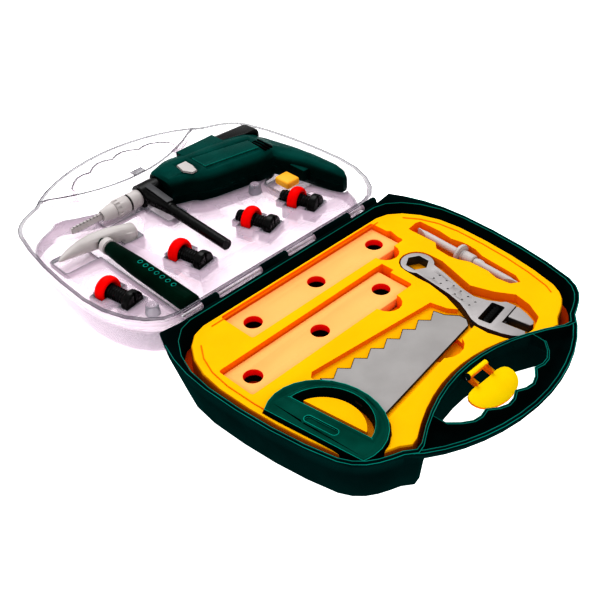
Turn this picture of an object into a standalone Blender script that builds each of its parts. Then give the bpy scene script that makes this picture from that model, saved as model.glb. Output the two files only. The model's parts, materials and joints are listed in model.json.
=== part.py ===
"""Toy tool box: a folding carry case with a dark base, a clear lid and the toy tools that lie in both.

Metres, +Z up. The case lies open. The hinge axis runs along X above the origin, the base reaches
towards -Y and the lid towards +Y, and both stand on Z = 0.
"""
import math

import bmesh
import bpy
from mathutils import Matrix, Vector

PART = "toy_tool_box"
CLEARANCE = 0.0003

# Case shells
HALF_WIDTH = 0.190
SHELL_HEIGHT = 0.052
HINGE_GAP = 0.0055
BODY_REACH = 0.2865
HANDLE_BOW = 0.0385
HANDLE_REACH = BODY_REACH + HANDLE_BOW
FRONT_SAG = 0.0355
WALL = 0.0025
LIP_HEIGHT = 0.0035
LIP_WIDTH = 0.0035
HANDLE_DEPTH = 0.014
LEDGE_HEIGHT = 0.0205
LEDGE_WIDTH = 0.0030
BASE_TUCK = 0.0125
LID_TUCK = 0.0055
EAR_INSET = 0.022
CORNER_RADIUS = 0.052
SCALLOP_WIDTH = 0.037
SCALLOP_DEPTH = 0.007

# Hinge and latch
HINGE_PIN_RADIUS = 0.0015
KNUCKLE_RADIUS = 0.0040
KNUCKLE_GAP = 0.0005
KNUCKLE_ENDS = (-0.136, -0.112, -0.091, -0.031, 0.006, 0.048, 0.103, 0.126, 0.146)
HINGE_HEIGHT = SHELL_HEIGHT + 0.0004
LATCH_X = 0.004
LATCH_WIDTH = 0.062
LATCH_REACH = 0.0385
LATCH_PLATE = 0.0030
LATCH_DROP = 0.0044
LATCH_SLOPE = math.radians(14.0)
LATCH_WINDOW = (0.0100, 0.0110)
BARREL_LENGTH = 0.026
BARREL_RADIUS = 0.0032
LUG_WIDTH = 0.0040
CATCH_WIDTH = 0.017
CATCH_REACH = 0.0108
CATCH_THICKNESS = 0.0018

# Base tray
TRAY_TOP = 0.0455
TRAY_GAP = 0.0138
TRAY_WALL = 0.0018
FLANGE_HEIGHT = 0.0014
SHEET_WALL = 0.0012
INSERT_TOP = 0.0240

# Planks
PLANK_LENGTH = 0.2206
PLANK_WIDTH = 0.0439
PLANK_THICKNESS = 0.0160
PLANK_TOP = 0.0395
PLANK_HOLE_RADIUS = 0.00975
PLANK_HOLE_SPACING = 0.090
PLANK_CENTRES = ((0.0049, -0.0457), (-0.0491, -0.1041))
PLANK_PLAY = 0.0015
SCOOP_PLACES = ((0.0816, -0.0013), (0.0726, -0.0014))
SCOOP_REACH = (0.0150, 0.0158)
SCOOP_FLOOR = 0.0300

# Saw
SAW_CENTRE = (-0.1420, -0.2020)
SAW_TOP = 0.0505
SAW_GRIP_HEIGHT = 0.0180
SAW_GRIP_ANGLE = math.radians(8.1)
SAW_BOW = (0.0500, 0.0585)
SAW_HOLE = (0.0420, 0.0440)
SAW_BAR = (-0.0200, 0.0065)
SAW_ISLAND = (0.0335, 0.0375)
SAW_ISLAND_SIDE = 0.0130
BLADE_TOP = 0.0430
BLADE_THICKNESS = 0.0030
BLADE_TIP = (0.046, -0.169)
BLADE_TEETH = 7
BLADE_END = -0.1000
TOOTH_PITCH = 0.0211
TOOTH_DEPTH = 0.0085
TOOTH_ANGLE = math.radians(174.6)
BLADE_SCOOP = (0.0115, -0.2110)
BLADE_SCOOP_REACH = (0.0200, 0.0180)
BLADE_SCOOP_FLOOR = 0.0340

# Wrench
WRENCH_CENTRE = (0.095, -0.107)
WRENCH_ANGLE = math.radians(-101.0)
WRENCH_HEAD_ANGLE = math.radians(20.0)
WRENCH_TOP = 0.0450
WRENCH_THICKNESS = 0.0100
WRENCH_RING_RADIUS = 0.0178
WRENCH_PLAY = 0.0017
WRENCH_HEX_RADIUS = 0.0125
WRENCH_HEAD = (0.108, 0.006)
WORM_RADIUS = 0.0052
WORM_LENGTH = 0.0280
WORM_WINDOW = (0.0140, 0.0300)
WORM_LEAD = 0.004
JAW_GAP = 0.011

# Double ended driver
DRIVER_CENTRE = (0.1435, -0.1270)
DRIVER_AXIS_HEIGHT = 0.0400
DRIVER_ANGLE = math.radians(-3.0)
DRIVER_SHAFT_RADIUS = 0.0042
DRIVER_REAR = 0.062
DRIVER_FRONT = 0.076
DRIVER_FLANGE_RADIUS = 0.0112
DRIVER_FLANGE_WIDTH = 0.0045
DRIVER_COLLAR_RADIUS = 0.0062
DRIVER_COLLAR_LENGTH = 0.0130

# Drill, lying on its side in the lid
DRILL_ORIGIN = (0.013, 0.2324, 0.0332)
DRILL_ANGLE = 0.0
DRILL_HALF_THICKNESS = 0.0250
CASING_WALL = 0.0026
COLLAR_RADIUS = 0.0145
COLLAR_LENGTH = 0.027
CHUCK_RADIUS = 0.0106
BIT_WIDTH = 0.0085
BIT_THICKNESS = 0.0032
SPINDLE_RADIUS = 0.0030
SIDE_HANDLE_RADIUS = 0.0064
SIDE_HANDLE_END = -0.152
TRIGGER_TRAVEL = 0.005
MOTOR_RADIUS = 0.0120
MOTOR_LENGTH = 0.032
GEAR_MODULE = 0.0008
GEAR_TEETH = 24
PINION_TEETH = 8
BATTERY_RADIUS = 0.00525
BATTERY_LENGTH = 0.0445
BOSS_RADIUS = 0.0044
SCREW_RADIUS = 0.0014
BOSS_PLACES = ((0.046, -0.043), (0.110, -0.009), (0.118, -0.050), (0.150, -0.068))

# Hammer
HAMMER_HEIGHT = 0.0300
HAMMER_X = -0.0985
HAMMER_HEAD_Y = 0.2000
HAMMER_ANGLE = math.radians(-1.2)
HAMMER_GRIP_RADIUS = 0.0115
HAMMER_GRIP_LENGTH = 0.1500
HAMMER_COLLAR_LENGTH = 0.0110
HAMMER_NECK_RADIUS = 0.0060

# Bolts with their nuts
BOLT_AXIS_HEIGHT = 0.0245
BOLT_RADIUS = 0.0084
BOLT_LENGTH = 0.0400
BOLT_HEAD_RADIUS = 0.0128
BOLT_HEAD_LENGTH = 0.0100
NUT_RADIUS = 0.0160
NUT_WIDTH = 0.0130

COLOURS = {
    "dark_green": ((0.003, 0.045, 0.040), 0.30, 0.0),
    "yellow": ((0.95, 0.62, 0.005), 0.35, 0.0),
    "plank_cream": ((1.00, 0.60, 0.24), 0.45, 0.0),
    "silver": ((0.45, 0.42, 0.42), 0.35, 0.6),
    "steel": ((0.55, 0.55, 0.56), 0.25, 1.0),
    "drill_green": ((0.004, 0.060, 0.052), 0.30, 0.0),
    "black": ((0.006, 0.006, 0.007), 0.35, 0.0),
    "grip_green": ((0.002, 0.030, 0.014), 0.45, 0.0),
    "red": ((0.90, 0.008, 0.004), 0.35, 0.0),
    "orange": ((1.00, 0.38, 0.01), 0.35, 0.0),
    "clear": ((0.90, 0.86, 0.92), 0.08, 0.0),
    "panel_green": ((0.005, 0.075, 0.060), 0.25, 0.0),
}


def remove_everything():
    """Start from an empty file."""
    for item in list(bpy.data.objects):
        bpy.data.objects.remove(item, do_unlink=True)


def collection(name):
    """The collection of that name, made when it is missing."""
    found = bpy.data.collections.get(name)
    if found is None:
        found = bpy.data.collections.new(name)
        bpy.context.scene.collection.children.link(found)
    return found


def material(name, finish):
    """A Principled material for one piece."""
    colour, roughness, metallic = COLOURS[finish]
    made = bpy.data.materials.new(name)
    made.use_nodes = True
    shader = made.node_tree.nodes["Principled BSDF"]
    shader.inputs["Base Color"].default_value = (*colour, 1.0)
    shader.inputs["Roughness"].default_value = roughness
    shader.inputs["Metallic"].default_value = metallic
    if finish == "clear":
        shader.inputs["Transmission Weight"].default_value = 0.9
    return made


def new_object(name, mesh, group):
    """Link a mesh into a collection as an object."""
    made = bpy.data.objects.new(name, mesh)
    collection(group).objects.link(made)
    made.hide_render = True
    made.display_type = "WIRE"
    return made


def piece(obj, name, finish, smooth_angle=35.0):
    """Name an object as one piece of the toy and give it its material."""
    obj.name = name
    obj.data.name = name
    for group in list(obj.users_collection):
        group.objects.unlink(obj)
    collection(PART).objects.link(obj)
    obj.data.materials.clear()
    obj.data.materials.append(material(name, finish))
    obj.data.shade_smooth()
    obj.data.set_sharp_from_angle(angle=math.radians(smooth_angle))
    obj.hide_render = False
    obj.display_type = "TEXTURED"
    return obj


def boolean(obj, other, operation):
    """Cut or join with a guide object that stays editable."""
    step = obj.modifiers.new(operation.lower() + "_" + other.name, "BOOLEAN")
    step.operation = operation
    step.object = other
    step.solver = "EXACT"
    return obj


def cut(obj, other):
    return boolean(obj, other, "DIFFERENCE")


def join(obj, other):
    return boolean(obj, other, "UNION")


def bevel(obj, width, segments=2, angle=40.0):
    """Round the edges sharper than an angle."""
    step = obj.modifiers.new("bevel", "BEVEL")
    step.width = width
    step.segments = segments
    step.limit_method = "ANGLE"
    step.angle_limit = math.radians(angle)
    return obj


def shift(obj, origin):
    """Put the object's origin at a world point and leave its shape where it is."""
    obj.data.transform(Matrix.Translation(-Vector(origin)))
    obj.location = origin
    return obj


def loft(name, rings, group="cutters"):
    """A closed body through rings of as many points each, capped at both ends."""
    shape = bmesh.new()
    rows = [[shape.verts.new(point) for point in ring] for ring in rings]
    count = len(rows[0])
    for lower, upper in zip(rows, rows[1:]):
        for i in range(count):
            j = (i + 1) % count
            shape.faces.new((lower[i], lower[j], upper[j], upper[i]))
    shape.faces.new(rows[0])
    shape.faces.new(rows[-1])
    bmesh.ops.recalc_face_normals(shape, faces=shape.faces)
    mesh = bpy.data.meshes.new(name)
    shape.to_mesh(mesh)
    shape.free()
    return new_object(name, mesh, group)


def plate(name, outlines, low, high, group="cutters"):
    """A flat plate between two heights, from an outer outline and any holes in it."""
    curve = bpy.data.curves.new(name, "CURVE")
    curve.dimensions = "2D"
    curve.fill_mode = "BOTH"
    curve.extrude = (high - low) / 2
    for outline in outlines:
        spline = curve.splines.new("POLY")
        spline.points.add(len(outline) - 1)
        for point, place in zip(spline.points, outline):
            point.co = (place[0], place[1], 0.0, 1.0)
        spline.use_cyclic_u = True
    source = new_object(name, curve, group)
    bpy.context.view_layer.update()
    evaluated = source.evaluated_get(bpy.context.evaluated_depsgraph_get())
    mesh = bpy.data.meshes.new_from_object(evaluated)
    mesh.transform(source.matrix_world)
    mesh.transform(Matrix.Translation((0.0, 0.0, (low + high) / 2)))
    bpy.data.objects.remove(source, do_unlink=True)
    welded = bmesh.new()
    welded.from_mesh(mesh)
    bmesh.ops.remove_doubles(welded, verts=welded.verts, dist=0.00001)
    bmesh.ops.dissolve_limit(welded, angle_limit=math.radians(0.5), verts=welded.verts, edges=welded.edges)
    bmesh.ops.recalc_face_normals(welded, faces=welded.faces)
    welded.to_mesh(mesh)
    welded.free()
    return new_object(name, mesh, group)


def cylinder(name, radius, start, end, sides=24, end_radius=None, group="cutters"):
    """A round bar or cone between two points."""
    start, end = Vector(start), Vector(end)
    shape = bmesh.new()
    bmesh.ops.create_cone(
        shape,
        cap_ends=True,
        segments=sides,
        radius1=radius,
        radius2=radius if end_radius is None else end_radius,
        depth=(end - start).length,
    )
    turn = (end - start).to_track_quat("Z", "Y").to_matrix().to_4x4()
    shape.transform(Matrix.Translation((start + end) / 2) @ turn)
    mesh = bpy.data.meshes.new(name)
    shape.to_mesh(mesh)
    shape.free()
    return new_object(name, mesh, group)


def block(name, low, high, group="cutters"):
    """A box between two corners."""
    low, high = Vector(low), Vector(high)
    shape = bmesh.new()
    bmesh.ops.create_cube(shape, size=1.0)
    size = high - low
    bmesh.ops.scale(shape, vec=size, verts=shape.verts)
    bmesh.ops.translate(shape, vec=(low + high) / 2, verts=shape.verts)
    mesh = bpy.data.meshes.new(name)
    shape.to_mesh(mesh)
    shape.free()
    return new_object(name, mesh, group)


def turned(name, profile, steps=24, group="cutters"):
    """A profile of (radius, height), top first, turned about Z. Off the axis it is a closed ring."""
    mesh = bpy.data.meshes.new(name)
    points = [(radius, 0.0, height) for radius, height in profile]
    edges = [(i, i + 1) for i in range(len(points) - 1)]
    if profile[0][0] > 0.0:
        edges.append((len(points) - 1, 0))
    mesh.from_pydata(points, edges, [])
    made = new_object(name, mesh, group)
    step = made.modifiers.new("turn", "SCREW")
    step.steps = steps
    step.render_steps = steps
    step.use_merge_vertices = True
    step.merge_threshold = 0.00001
    return made


def merged(name, objects):
    """One object that holds several separate closed bodies."""
    shape = bmesh.new()
    for obj in objects:
        obj.data.transform(obj.matrix_basis)
        shape.from_mesh(obj.data)
        bpy.data.objects.remove(obj, do_unlink=True)
    mesh = bpy.data.meshes.new(name)
    shape.to_mesh(mesh)
    shape.free()
    return new_object(name, mesh, "cutters")


def bezier(start, handle, other, end, count):
    """Points along one Bezier span, without its start."""
    points = []
    for i in range(1, count + 1):
        t = i / count
        weights = ((1 - t) ** 3, 3 * t * (1 - t) ** 2, 3 * t * t * (1 - t), t ** 3)
        corners = (start, handle, other, end)
        points.append(tuple(sum(w * p[k] for w, p in zip(weights, corners)) for k in (0, 1)))
    return points


def arc(centre, radii, first, last, count):
    """Points on an ellipse between two angles in degrees, both ends included."""
    points = []
    for i in range(count + 1):
        angle = math.radians(first + (last - first) * i / count)
        points.append((centre[0] + radii[0] * math.cos(angle), centre[1] + radii[1] * math.sin(angle)))
    return points


def rounded(x0, x1, y0, y1, radius, steps=3):
    """A rectangle outline with round corners."""
    points = []
    for corner in range(4):
        x = (x1 - radius, x0 + radius)[corner in (1, 2)]
        y = (y1 - radius, y0 + radius)[corner in (2, 3)]
        points += arc((x, y), (radius, radius), 90 * corner, 90 * corner + 90, steps)
    return points


def grow(outline, distance):
    """Move an anticlockwise outline outwards by a distance, with mitred corners."""
    count = len(outline)
    moved = []
    for i, point in enumerate(outline):
        here = Vector(point)
        before = (here - Vector(outline[i - 1])).normalized()
        after = (Vector(outline[(i + 1) % count]) - here).normalized()
        normal = Vector((before.y + after.y, -before.x - after.x)).normalized()
        share = max(0.5, normal.dot(Vector((after.y, -after.x))))
        moved.append(tuple(here + normal * distance / share))
    return moved


def placed(outline, centre, angle):
    """Turn an outline by an angle and move it to a centre."""
    c, s = math.cos(angle), math.sin(angle)
    return [(centre[0] + c * x - s * y, centre[1] + s * x + c * y) for x, y in outline]


def at_height(outline, height):
    return [(x, y, height) for x, y in outline]


def case_half(ears):
    """Half the outline of a case shell from the hinge round to the notch before the handle."""
    side = (HALF_WIDTH, HINGE_GAP + 0.0895)
    front = (HALF_WIDTH - 0.0185, BODY_REACH - 0.0435)
    notch = (HALF_WIDTH - 0.063, BODY_REACH - 0.0075)
    if ears:
        ear = (HALF_WIDTH - EAR_INSET, HINGE_GAP - 0.003)
        points = [(0.0, HINGE_GAP), (HALF_WIDTH - 0.044, HINGE_GAP), ear]
        points += bezier(ear, (ear[0] + 0.012, 0.025), (HALF_WIDTH, 0.055), side, 4)
    else:
        start = (HALF_WIDTH - CORNER_RADIUS, HINGE_GAP)
        points = [(0.0, HINGE_GAP), start]
        points += bezier(start, (start[0] + 0.025, 0.006), (HALF_WIDTH, 0.043), side, 5)
    points += bezier(side, (HALF_WIDTH, 0.150), (HALF_WIDTH - 0.007, front[1] - 0.038), front, 4)
    points += bezier(front, (front[0] - 0.0085, front[1] + 0.023), (notch[0] + 0.018, notch[1] - 0.007), notch, 5)
    return points


def body_loop(side, ears):
    """The closed outline of a shell's tub, with its hollowed front wall. side is -1 for the base."""
    nose = HALF_WIDTH - 0.082
    half = case_half(ears) + [(HALF_WIDTH - 0.073, BODY_REACH)]
    steps = 6
    for i in range(steps + 1):
        x = nose * (1 - i / steps)
        half.append((x, BODY_REACH - FRONT_SAG + (FRONT_SAG - 0.001) * (x / nose) ** 2 - 0.001))
    return [(x, side * y) for x, y in half] + [(-x, side * y) for x, y in reversed(half[1:-1])]


def inset(loop, distance, side):
    """Draw a tub outline in towards the middle of the tub."""
    middle = side * (BODY_REACH + HINGE_GAP) / 2
    across = 1 - distance / HALF_WIDTH
    along = 1 - distance / ((BODY_REACH - HINGE_GAP) / 2)
    return [(x * across, middle + (y - middle) * along) for x, y in loop]


def front_wall(x):
    """How far the hollowed front wall of a shell stands from the hinge line."""
    nose = HALF_WIDTH - 0.082
    return BODY_REACH - FRONT_SAG - 0.001 + (FRONT_SAG - 0.001) * (x / nose) ** 2


def tub(name, side, ears, tuck, ledge):
    """A case shell without its handle: outer wall with a lip, ledge for the tray, and floor."""
    sharp, soft = body_loop(side, ears), body_loop(side, False)
    top = SHELL_HEIGHT
    outer = [
        (0.0, 1.0, soft),
        (0.0012, 0.78, soft),
        (0.0060, 0.44, soft),
        (top - 0.016, 0.15, sharp),
        (top - LIP_HEIGHT, 0.10, sharp),
    ]
    inner = [(LEDGE_HEIGHT, 0.36), (0.0070, 0.52)]
    rings = [at_height(inset(loop, tuck * share, side), z) for z, share, loop in outer]
    rings.append(at_height(sharp, top - LIP_HEIGHT))
    rings.append(at_height(sharp, top))
    rings.append(at_height(inset(soft, LIP_WIDTH, side), top))
    rings.append(at_height(inset(soft, LIP_WIDTH + 0.0002, side), top - LIP_HEIGHT))
    rings.append(at_height(inset(soft, WALL + tuck * 0.22, side), LEDGE_HEIGHT))
    for z, share in inner:
        rings.append(at_height(inset(soft, WALL + tuck * (share - 0.14) + ledge, side), z))
    rings.append(at_height(inset(soft, WALL + tuck, side), WALL))
    return loft(name, rings)


def handle_loop(side, outside, inside):
    """The outline of a handle half: outer bow, roots inside the tub and the scalloped finger side."""
    notch = (HALF_WIDTH - 0.063, BODY_REACH - 0.0075)
    half = [notch] + bezier(notch, (notch[0] - 0.027, HANDLE_REACH - 0.019), (0.050, HANDLE_REACH), (0.0, HANDLE_REACH), 7)
    root = HANDLE_REACH - 0.085
    shrink = ((1 - outside / notch[0]), (1 - outside / (HANDLE_REACH - root)))
    bow = [(x * shrink[0], root + (y - root) * shrink[1]) for x, y in half]
    bow += [(-x, y) for x, y in reversed(bow[:-1])]
    back = BODY_REACH - 0.0245
    reach = 2 * SCALLOP_WIDTH
    fingers = []
    steps = 16
    for i in range(steps + 1):
        x = reach * (2 * i / steps - 1)
        ridge = HANDLE_REACH - 0.0245 - 3.65 * x * x
        wave = SCALLOP_DEPTH * abs(math.sin(math.pi * x / SCALLOP_WIDTH))
        fingers.append((x, ridge + wave + inside))
    foot = notch[0] - 0.015
    loop = bow + [(-foot, back), (-reach - 0.001, back)] + fingers + [(reach + 0.001, back), (foot, back)]
    return [(x, side * y) for x, y in loop]


def handle(side):
    """One half of the carry handle, a shallow trough with a lip, open towards the other half."""
    top = SHELL_HEIGHT - 0.0002
    low = SHELL_HEIGHT - HANDLE_DEPTH
    skin = [
        (low, 0.0090, 0.0030),
        (low + 0.0016, 0.0062, 0.0014),
        (low + 0.0050, 0.0028, 0.0008),
        (top - LIP_HEIGHT, 0.0012, 0.0),
        (top - LIP_HEIGHT, 0.0, 0.0),
        (top, 0.0, 0.0),
    ]
    wall = 0.0021
    core = [
        (low + wall, 0.0100, 0.0044),
        (low + 0.0050, 0.0050, 0.0030),
        (top - LIP_HEIGHT, 0.0036, 0.0022),
        (top + 0.001, 0.0034, 0.0021),
    ]
    body = loft("handle_solid", [at_height(handle_loop(side, out, fingers), z) for z, out, fingers in skin])
    trough = loft("handle_trough", [at_height(handle_loop(side, out, fingers), z) for z, out, fingers in core])
    return cut(body, trough)


def knuckle(name, x0, x1, axis, radius, bore, wall, side):
    """A hinge eye along X with an arm to a wall. axis and wall are in the Y and Z plane."""
    top = -0.0006
    arm = wall - axis[0]
    first = math.degrees(math.asin(top / radius))
    eye = arc((0.0, 0.0), (radius, radius), first, 270.0, 10)
    outline = [(side * u, v) for u, v in eye] + [(arm, -radius), (arm, top)]
    hole = arc((0.0, 0.0), (bore, bore), 0.0, 324.0, 9)
    made = plate(name, (outline, hole), 0.0, x1 - x0)
    turn = Matrix(((0, 0, 1, x0), (1, 0, 0, axis[0]), (0, 1, 0, axis[1]), (0, 0, 0, 1)))
    made.data.transform(turn)
    return made


def knuckles(side, odd):
    """All the hinge eyes of one shell."""
    eyes = []
    for i, (x0, x1) in enumerate(zip(KNUCKLE_ENDS, KNUCKLE_ENDS[1:])):
        if i % 2 == odd:
            eyes.append(
                knuckle(
                    f"eye_{side}_{i}",
                    x0 + KNUCKLE_GAP / 2,
                    x1 - KNUCKLE_GAP / 2,
                    (0.0, HINGE_HEIGHT),
                    KNUCKLE_RADIUS,
                    HINGE_PIN_RADIUS + CLEARANCE,
                    side * (HINGE_GAP + WALL),
                    side,
                )
            )
    return merged(f"hinge_eyes_{side}", eyes)


LATCH_AXIS = (-(front_wall(LATCH_X) + BARREL_RADIUS + 0.0018), SHELL_HEIGHT - 0.0055)


def latch_lugs():
    """The two eyes on the base that carry the latch."""
    lugs = []
    for side in (-1, 1):
        inner = LATCH_X + side * (BARREL_LENGTH / 2 + KNUCKLE_GAP)
        outer = inner + side * LUG_WIDTH
        lugs.append(
            knuckle(
                f"lug_{side}",
                min(inner, outer),
                max(inner, outer),
                LATCH_AXIS,
                BARREL_RADIUS,
                HINGE_PIN_RADIUS + CLEARANCE,
                -front_wall(LATCH_X) + 0.0017,
                1,
            )
        )
        for point in lugs[-1].data.vertices:
            if point.co.y > LATCH_AXIS[0] + BARREL_RADIUS and point.co.z > LATCH_AXIS[1] - BARREL_RADIUS / 2:
                point.co.z = SHELL_HEIGHT - 0.0008
    return merged("latch_lugs", lugs)


def build_base():
    """The dark base shell with its half of the carry handle, hinge eyes and latch eyes."""
    base = tub("base_shell", -1, True, BASE_TUCK, LEDGE_WIDTH)
    grip = handle(-1)
    middle = [at_height(inset(body_loop(-1, False), WALL + 0.0004, -1), z) for z in (0.0, 2 * SHELL_HEIGHT)]
    cut(grip, loft("base_hollow", middle))
    join(base, grip)
    join(base, knuckles(-1, 1))
    join(base, latch_lugs())
    return piece(base, "base_shell", "dark_green")


def build_lid():
    """The clear lid shell, with its half of the handle, hinge eyes and the tab the latch hooks on."""
    lid = tub("lid_shell", 1, False, LID_TUCK, 0.0)
    grip = handle(1)
    middle = [at_height(inset(body_loop(1, False), WALL - 0.0006, 1), z) for z in (0.0, 2 * SHELL_HEIGHT)]
    cut(grip, loft("lid_hollow", middle))
    join(lid, grip)
    join(lid, knuckles(1, 0))
    apex = front_wall(LATCH_X)
    top = SHELL_HEIGHT - 0.0003
    low = (LATCH_X - CATCH_WIDTH / 2, apex - 0.002, top - CATCH_THICKNESS)
    join(lid, bevel(block("catch_tab", low, (low[0] + CATCH_WIDTH, apex + CATCH_REACH, top)), 0.0006, 1))
    return shift(piece(lid, "lid_shell", "clear"), (0.0, 0.0, HINGE_HEIGHT))


def build_hinge_pin():
    start = (KNUCKLE_ENDS[0] - 0.0015, 0.0, HINGE_HEIGHT)
    end = (KNUCKLE_ENDS[-1] + 0.0015, 0.0, HINGE_HEIGHT)
    return piece(cylinder("pin", HINGE_PIN_RADIUS, start, end, 12), "hinge_pin", "steel")


def build_latch():
    """The yellow latch: a barrel on the pin, two arms, and a tongue with a window for the lid's tab."""
    axis = Vector((LATCH_X, LATCH_AXIS[0], LATCH_AXIS[1]))
    half = LATCH_WIDTH / 2
    reach = LATCH_REACH
    window, opening = LATCH_WINDOW
    right = [(window + 0.0030, 0.0), (window + 0.0030, 0.0100)]
    right += bezier(right[-1], (0.022, 0.0100), (half, 0.0110), (half, 0.0200), 5)
    right += bezier((half, 0.0200), (half - 0.001, 0.032), (half - 0.012, reach), (0.0, reach + 0.0010), 7)
    outline = right + [(-x, y) for x, y in reversed(right[:-1])]
    hole = rounded(-window, window, BARREL_RADIUS - 0.0060, opening, 0.0012, 2)
    drop = LATCH_DROP
    tongue = plate("latch", (outline,), -drop - LATCH_PLATE, -drop)
    bevel(tongue, 0.0008, 2, 60.0)
    for side in (-1, 1):
        low = (min(side * (window + 0.0002), side * (window + 0.0028)), -0.0020, -drop - LATCH_PLATE + 0.0010)
        join(tongue, block("latch_arm", low, (low[0] + 0.0026, opening, 0.0)))
    ends = ((-BARREL_LENGTH / 2, 0.0, 0.0), (BARREL_LENGTH / 2, 0.0, 0.0))
    join(tongue, cylinder("latch_barrel", BARREL_RADIUS, *ends, 20))
    cut(tongue, plate("latch_window", (hole,), -drop - 0.010, -drop + 0.0004))
    ends = ((-0.050, 0.0, 0.0), (0.050, 0.0, 0.0))
    cut(tongue, cylinder("latch_bore", HINGE_PIN_RADIUS + CLEARANCE, *ends, 12))
    turn = Matrix.Rotation(math.radians(180), 4, "Z") @ Matrix.Rotation(-LATCH_SLOPE, 4, "X")
    for item in [tongue] + [step.object for step in tongue.modifiers if step.type == "BOOLEAN"]:
        item.data.transform(turn)
        item.location = axis
    return piece(tongue, "latch", "yellow")


def build_latch_pin():
    reach = BARREL_LENGTH / 2 + KNUCKLE_GAP + LUG_WIDTH
    start = (LATCH_X - reach, LATCH_AXIS[0], LATCH_AXIS[1])
    end = (LATCH_X + reach, LATCH_AXIS[0], LATCH_AXIS[1])
    return piece(cylinder("pin", HINGE_PIN_RADIUS, start, end, 12), "latch_pin", "steel")


def plank_outline(centre, play):
    x, y = centre
    half_x, half_y = PLANK_LENGTH / 2 + play, PLANK_WIDTH / 2 + play
    return rounded(x - half_x, x + half_x, y - half_y, y + half_y, 0.0012 + play, 2)


def build_plank(name, centre):
    """A plank with a row of three bolt holes."""
    low = PLANK_TOP - PLANK_THICKNESS
    holes = []
    for i in (-1, 0, 1):
        middle = (centre[0] + i * PLANK_HOLE_SPACING, centre[1])
        holes.append(arc(middle, (PLANK_HOLE_RADIUS, PLANK_HOLE_RADIUS), 0, 342, 19))
    board = plate(name, [plank_outline(centre, 0.0)] + holes, low, PLANK_TOP)
    bevel(board, 0.0006, 1, 80.0)
    return shift(piece(board, name, "plank_cream"), (*centre, low))


def saw_blade_outline():
    """The blade from above, anticlockwise: back edge, rounded end, then the teeth towards the handle."""
    x, y = BLADE_TIP
    points = [(BLADE_END, y - 0.0610), (x + 0.006, y - 0.0390), (x + 0.012, y - 0.0320), (x + 0.012, y - 0.0240)]
    points.append((x + 0.003, y - 0.0120))
    c, s = math.cos(TOOTH_ANGLE), math.sin(TOOTH_ANGLE)
    for i in range(BLADE_TEETH + 1):
        along = i * TOOTH_PITCH
        points.append((x + c * along, y + s * along))
        if i < BLADE_TEETH:
            along += 0.58 * TOOTH_PITCH
            points.append((x + c * along - s * TOOTH_DEPTH, y + s * along + c * TOOTH_DEPTH))
    points += [(BLADE_END - 0.0015, points[-1][1] - 0.004), (BLADE_END, points[-1][1] - 0.012)]
    return points


def build_saw_blade():
    low = BLADE_TOP - BLADE_THICKNESS
    blade = plate("saw_blade", (saw_blade_outline(),), low, BLADE_TOP)
    return shift(piece(blade, "saw_blade", "silver", 25.0), (BLADE_END, BLADE_TIP[1], low))


def saw_bow_outline(radii, bar):
    """A bow from the straight hand bar round the far side, anticlockwise."""
    across, along = radii
    start = math.degrees(math.acos(bar / across))
    return placed(arc((0.0, 0.0), (across, along), -start, start, 18), SAW_CENTRE, SAW_GRIP_ANGLE)


def build_saw_handle():
    """The ring shaped saw handle, with a slot that the blade end sits in."""
    high, low = SAW_TOP, SAW_TOP - SAW_GRIP_HEIGHT
    outline = (saw_bow_outline(SAW_BOW, SAW_BAR[0]), saw_bow_outline(SAW_HOLE, SAW_BAR[1]))
    grip = plate("saw_handle", outline, low, high)
    bevel(grip, 0.0028, 2, 50.0)
    middle = sum(SAW_BAR) / 2
    recess = rounded(middle - 0.0042, middle + 0.0042, -0.018, 0.018, 0.0041, 4)
    recess = placed(recess, SAW_CENTRE, SAW_GRIP_ANGLE)
    cut(grip, plate("saw_recess", (recess,), high - 0.0022, high + 0.002))
    slot = grow(saw_blade_outline(), CLEARANCE)
    low_slot = BLADE_TOP - BLADE_THICKNESS - CLEARANCE
    cut(grip, plate("saw_slot", (slot,), low_slot, BLADE_TOP + CLEARANCE))
    return shift(piece(grip, "saw_handle", "grip_green"), (*SAW_CENTRE, low))


def frame_of(place, angle):
    """A frame at a place, turned about the vertical."""
    return Matrix.Translation(place) @ Matrix.Rotation(angle, 4, "Z")


WRENCH_MIDDLE = WRENCH_TOP - WRENCH_THICKNESS / 2
WRENCH_FRAME = frame_of((*WRENCH_CENTRE, WRENCH_MIDDLE), WRENCH_ANGLE)
WRENCH_HEAD_FRAME = WRENCH_FRAME @ frame_of((*WRENCH_HEAD, 0.0), WRENCH_HEAD_ANGLE)
JAW_FOOT = 0.0153
FIXED_JAW = -0.0070
RAIL_HALF = 0.0020


def set_in(obj, frame):
    """Put a shape made about a frame's origin into that frame, and keep the frame as its own."""
    obj.matrix_world = frame
    for step in obj.modifiers:
        if step.type == "BOOLEAN":
            step.object.matrix_world = frame
    return obj


def head_point(u, v):
    """A point of the wrench head in the frame of the shaft."""
    c, s = math.cos(WRENCH_HEAD_ANGLE), math.sin(WRENCH_HEAD_ANGLE)
    return (WRENCH_HEAD[0] + c * u - s * v, WRENCH_HEAD[1] + s * u + c * v)


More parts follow.
